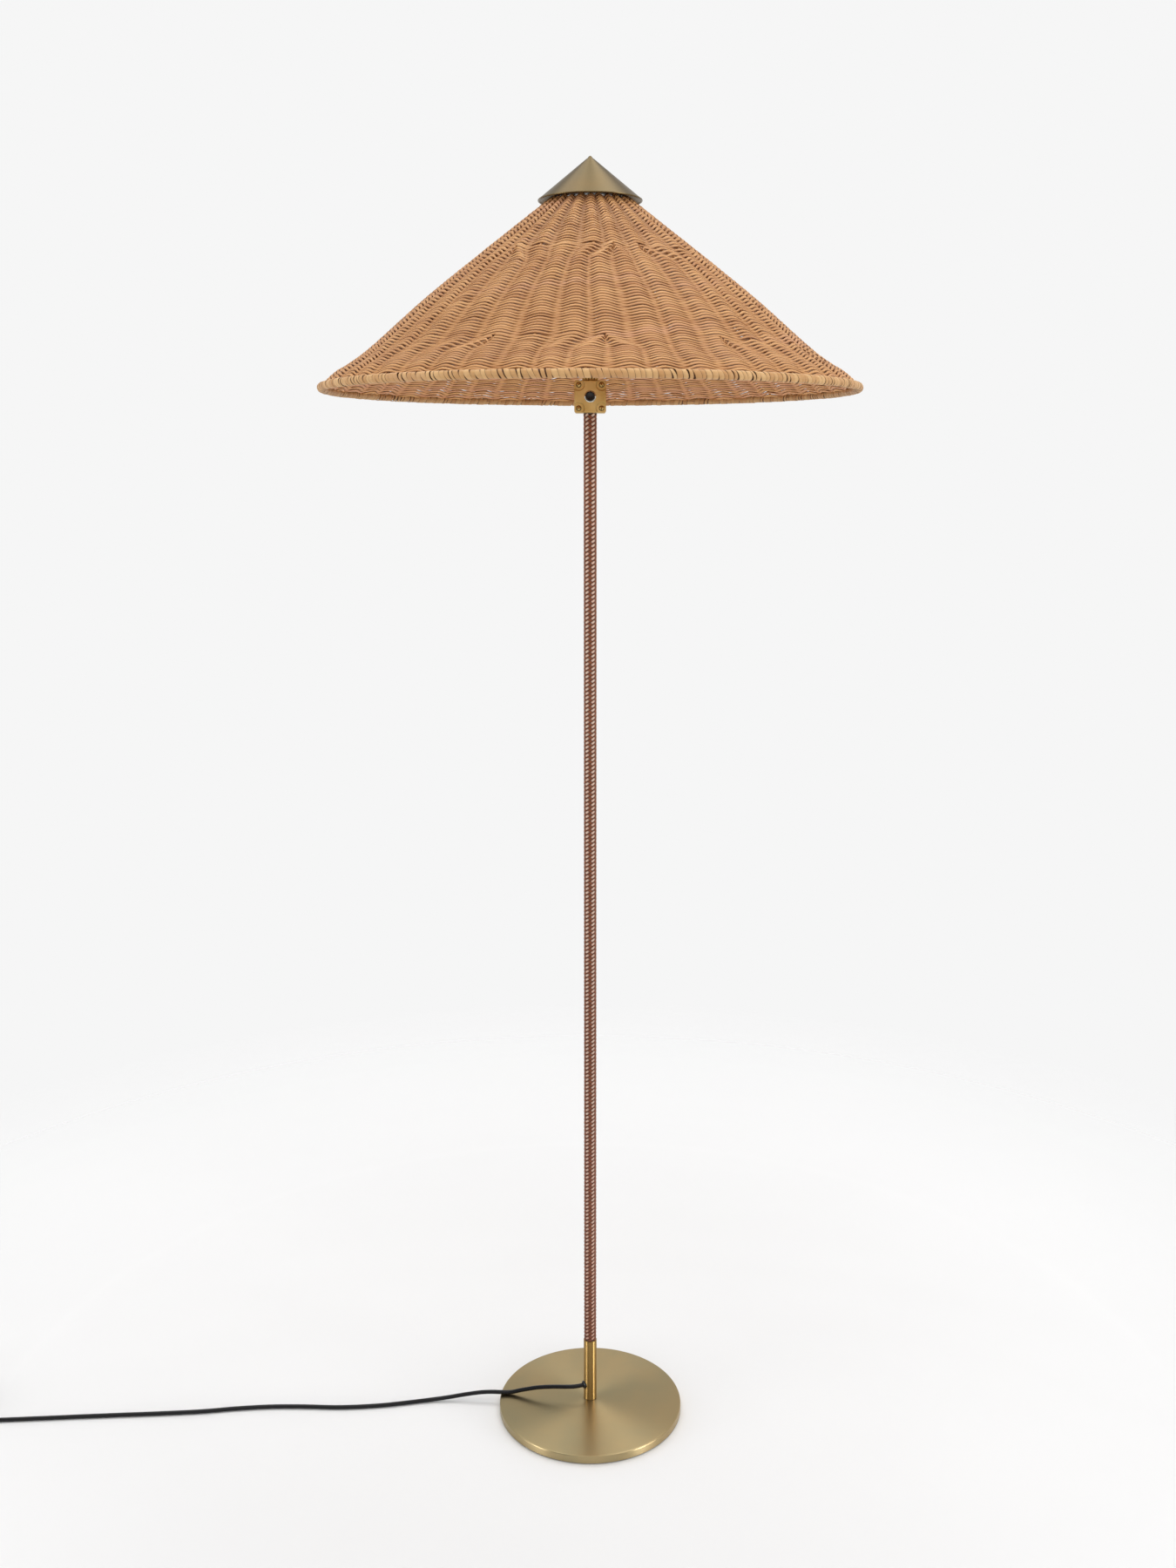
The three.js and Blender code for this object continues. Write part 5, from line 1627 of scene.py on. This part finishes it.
# %% Rim binding
HOOP_RADIUS = 295
HOOP_HEIGHT = 1241
WRAP_PITCH = 5.6
WRAP_RADIUS = 4.25
WRAP_THICKNESS = 0.35
WRAP_STEPS = 22
WRAP_WIDTHS = (-0.2, 0.2)  # more or less than the pitch, as a share
WRAP_LIFTS = (-0.25, 0.25)
WRAP_SLANTS = (-2.6, -0.8)
WRAP_FILLS = (0.95, 1.04)  # share of its room that a turn fills
LOOSE_FILL = 0.62
LOOSE_WRAPS = 6  # one wrap in this many leaves a dark gap
WRAP_FULLNESS = 0.5
WRAP_INNER_FACE = 0.6  # the face on the hoop is flatter than the outer one
WRAP_SHARPNESS = 9
WRAP_RUN = 0.8
WRAP_SEED = 23.0
INNER_SHADE = 0.24  # painted shade on the side that faces into the lampshade


def closed_strand(line, radial, half, thickness):
    """Rings of a flat band that closes on itself, with a rounded outer face."""
    tangent = np.roll(line, -1, axis=0) - np.roll(line, 1, axis=0)
    across = unit(np.cross(unit(tangent), radial))
    cosine, sine = np.cos(SECTION), np.sin(SECTION)
    side = np.sign(cosine) * np.abs(cosine) ** WRAP_FULLNESS * half
    up = np.where(sine > 0, sine, WRAP_INNER_FACE * sine) * thickness
    return line[:, None] + across[:, None] * side[:, None] + radial[:, None] * up[:, None]


def wrap_grid(centre, half, slant, radius):
    """One turn of the strip. It closes on itself, so its slant swings out and back."""
    turn = round_angles(WRAP_STEPS)
    angle = centre + slant * np.sin(turn)
    line = placed_round(HOOP_RADIUS + radius * np.cos(turn), angle, HOOP_HEIGHT + radius * np.sin(turn))
    radial = placed_round(np.cos(turn), angle, np.sin(turn))
    return closed_strand(line, radial, half, WRAP_THICKNESS)


def rim_wraps():
    strands = Strands()
    count = round(FULL_TURN * HOOP_RADIUS / WRAP_PITCH)
    widths = 1 + rng.uniform(*WRAP_WIDTHS, count)
    fill = rng.uniform(*WRAP_FILLS, count)
    fill[rng.integers(0, count, count // LOOSE_WRAPS)] = LOOSE_FILL
    centres = (np.cumsum(widths) - widths / 2) / widths.sum() * FULL_TURN
    turn = round_angles(WRAP_STEPS)[:, None]
    # Painted shade at the edges of each turn and on its inner side.
    depth = np.maximum(edge_shade(WRAP_SHARPNESS), INNER_SHADE * (np.cos(turn) < 0))
    for number, (centre, width) in enumerate(zip(centres, widths * fill)):
        slant = rng.uniform(*WRAP_SLANTS) / HOOP_RADIUS
        grid = wrap_grid(centre, WRAP_PITCH * width / 2, slant, WRAP_RADIUS + rng.uniform(*WRAP_LIFTS))
        wrap_run = (turn * WRAP_RADIUS, SECTION_RUN * WRAP_RUN, WRAP_SEED * number)
        strands.add(grid, rng.uniform(), depth, wrap_run, closed=True)
    return strands.piece("rim_wraps"), count


wraps, wrap_count = rim_wraps()
finished(wraps, rattan_pale, stands_for=("rim_binding",))
print("wraps", wrap_count, "faces", len(wraps.data.polygons))

# %% [markdown]
# ## What stays hidden
# The iron weight, the steel tube in the stem, the nuts, the inner lead and the hoop are not replaced:
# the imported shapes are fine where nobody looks. They could stay grey too, but with true finishes the
# lamp can be taken apart.

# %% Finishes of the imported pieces
STEEL_PIECES = ["foot_washer", "foot_bolt", "foot_plug", "stem_tube", "stem_nut", "switch_nut"]
STEEL_PIECES += ["nipple", "nipple_nut", "cap_screw"]
PACKED_FINISHES = {
    **dict.fromkeys(STEEL_PIECES, steel),
    "base_weight": iron,
    "holder_thread": satin,
    # The hoop is coloured dark as painted shade in the gaps between the wraps.
    "rim_hoop": hoop_in_shade,
    "inner_lead": cable,
    "switch_body": moulding,
}

for name, finish in PACKED_FINISHES.items():
    materials = frame["nodes"][name].data.materials
    materials.clear()
    materials.append(finish)
shown = [name for name, node in frame["nodes"].items() if not node.hide_render]
print("dressed", len(PACKED_FINISHES), "and left", [n for n in shown if n not in PACKED_FINISHES])

# %% [markdown]
# ## The floor
# The photograph has a pale, even background that the floor fades into. A curved backdrop would show its
# bend in the side views. Here the floor is a wide disc whose edge fades out, so that only the
# background's own colour is left further away.

# %% Floor
BACKDROP = srgb(246, 246, 246)
FLOOR_RADIUS = 1.5
FLOOR_SIDES = 96
FLOOR_DROP = 0.0002
FLOOR_FADE = (0.75, 1.45)
FLOOR_CLOUDS = 3.0


def floor_surface(start):
    grain = noise(start, place_on_piece(start), FLOOR_CLOUDS)
    return {
        "Base Color": grain.mixed(srgb(241, 241, 241), srgb(244, 244, 244)),
        "Alpha": 1.0 - from_axis(start).between(*FLOOR_FADE),
    }


def floor_disc():
    edge = placed_round(FLOOR_RADIUS, round_angles(FLOOR_SIDES), 0)
    mesh = bpy.data.meshes.new("floor")
    mesh.from_pydata(edge.tolist(), [], [list(range(FLOOR_SIDES))])
    mesh.materials.append(new_finish("floor", floor_surface, 0.9))
    floor = bpy.data.objects.new("floor", mesh)
    floor.location.z = -FLOOR_DROP
    bpy.context.scene.collection.objects.link(floor)
    return floor


floor = floor_disc()
print("floor", floor.dimensions.x, "m across")

# %% [markdown]
# ## The sky
# A sky in grey steps lights the lamp as a pale studio does. Two soft boxes in it, behind the lamp to
# the left and right, draw the pale wedges on the spun disc. Area lamps could be those boxes, but in the
# sky they are never in the way of another view. The camera sees a plain backdrop in its place.

# %% Background
SKY_FILL = 0.6
SKY_STEPS = [(0.0, 0.8), (0.47, 1.3), (0.6, 1.3), (0.76, 1.1), (1.0, 0.75)]
FRONT_SHADE = 0.55
SOFT_BOXES = [(-0.25, 0.42, 0.87), (0.25, 0.42, 0.87)]
SOFT_BOX_EDGE = (0.955, 0.995)  # cosines of the angles at which a soft box fades out and is full
SOFT_BOX_GLOW = 3.2


def light_world():
    world = bpy.data.worlds.new("studio")
    bpy.context.scene.world = world
    world.use_nodes = True
    world.node_tree.nodes.clear()
    start = Socket(world.node_tree)
    direction = start.node("TexCoord", output="Generated")
    _, back, height = direction.parts()
    sky = (0.5 + 0.5 * height).node("ValToRGB", {"stops": SKY_STEPS})
    light = sky * (1.0 - FRONT_SHADE * (-back).between(0.0, 1.0))
    for box in SOFT_BOXES:
        aim = {0: direction, 1: tuple(Vector(box).normalized())}
        near = start.node("VectorMath", {"operation": "DOT_PRODUCT"}, aim, "Value")
        light = light + SOFT_BOX_GLOW * near.between(*SOFT_BOX_EDGE)
    seen = start.node("LightPath")
    lit = start.node("Background", inputs={0: light, 1: SKY_FILL})
    plain = start.node("Background", inputs={0: BACKDROP, 1: 1.0})
    mixed = start.node("MixShader", inputs={0: seen, 1: lit, 2: plain})
    start.node("OutputWorld", inputs={"Surface": mixed})
    return world


print("sky nodes:", len(light_world().node_tree.nodes))

# %% [markdown]
# ## The lamps
# A broad sun from above gives the soft shadow on the floor, and a weak one from the camera's side keeps
# the front clear. Two suns from the sides light the edges of the tube and the box. They could be large
# area lamps, but a sun lights the top and the base alike. Two low lamps with narrow cones reach only
# the base, and draw the bright lines on the flanks of its tube.

# %% Lamps
SUNS = {  # direction, strength, and its spread in degrees
    "sun": ((-0.2, 0.2, -1.5), 0.9, 60),
    "front": ((0, 1, 0.08), 0.35, 50),
    "side_1": ((0.93, 0.37, -0.15), 0.64, 24),
    "side_-1": ((-0.93, 0.37, -0.15), 0.86, 24),
}
LOW_LAMPS = {"low_1": ((-1.5, -0.9, 0.12), 66), "low_-1": ((1.5, -0.9, 0.12), 116)}  # place, power
LOW_AIM = (0, 0, 0.06)
LOW_SIZE = 0.25
LOW_CONE = math.radians(13)
LOW_BLEND = 0.6


def add_light(name, kind, strength, direction, place=(0, 0, 0)):
    light = bpy.data.objects.new(name, bpy.data.lights.new(name, kind))
    light.data.energy = strength
    light.location = place
    light.rotation_euler = Vector(direction).to_track_quat("-Z", "Y").to_euler()
    bpy.context.scene.collection.objects.link(light)
    return light


def add_sun(name, direction, strength, spread):
    sun = add_light(name, "SUN", strength, direction)
    sun.data.angle = math.radians(spread)
    return sun


def add_low_lamp(name, place, power):
    lamp = add_light(name, "SPOT", power, Vector(LOW_AIM) - Vector(place), place)
    lamp.data.shadow_soft_size = LOW_SIZE
    lamp.data.spot_size = LOW_CONE
    lamp.data.spot_blend = LOW_BLEND
    return lamp


lamps = [add_sun(name, *settings) for name, settings in SUNS.items()]
lamps += [add_low_lamp(name, *settings) for name, settings in LOW_LAMPS.items()]
bpy.context.scene.view_settings.view_transform = "Standard"
print("lights:", [lamp.name for lamp in lamps])
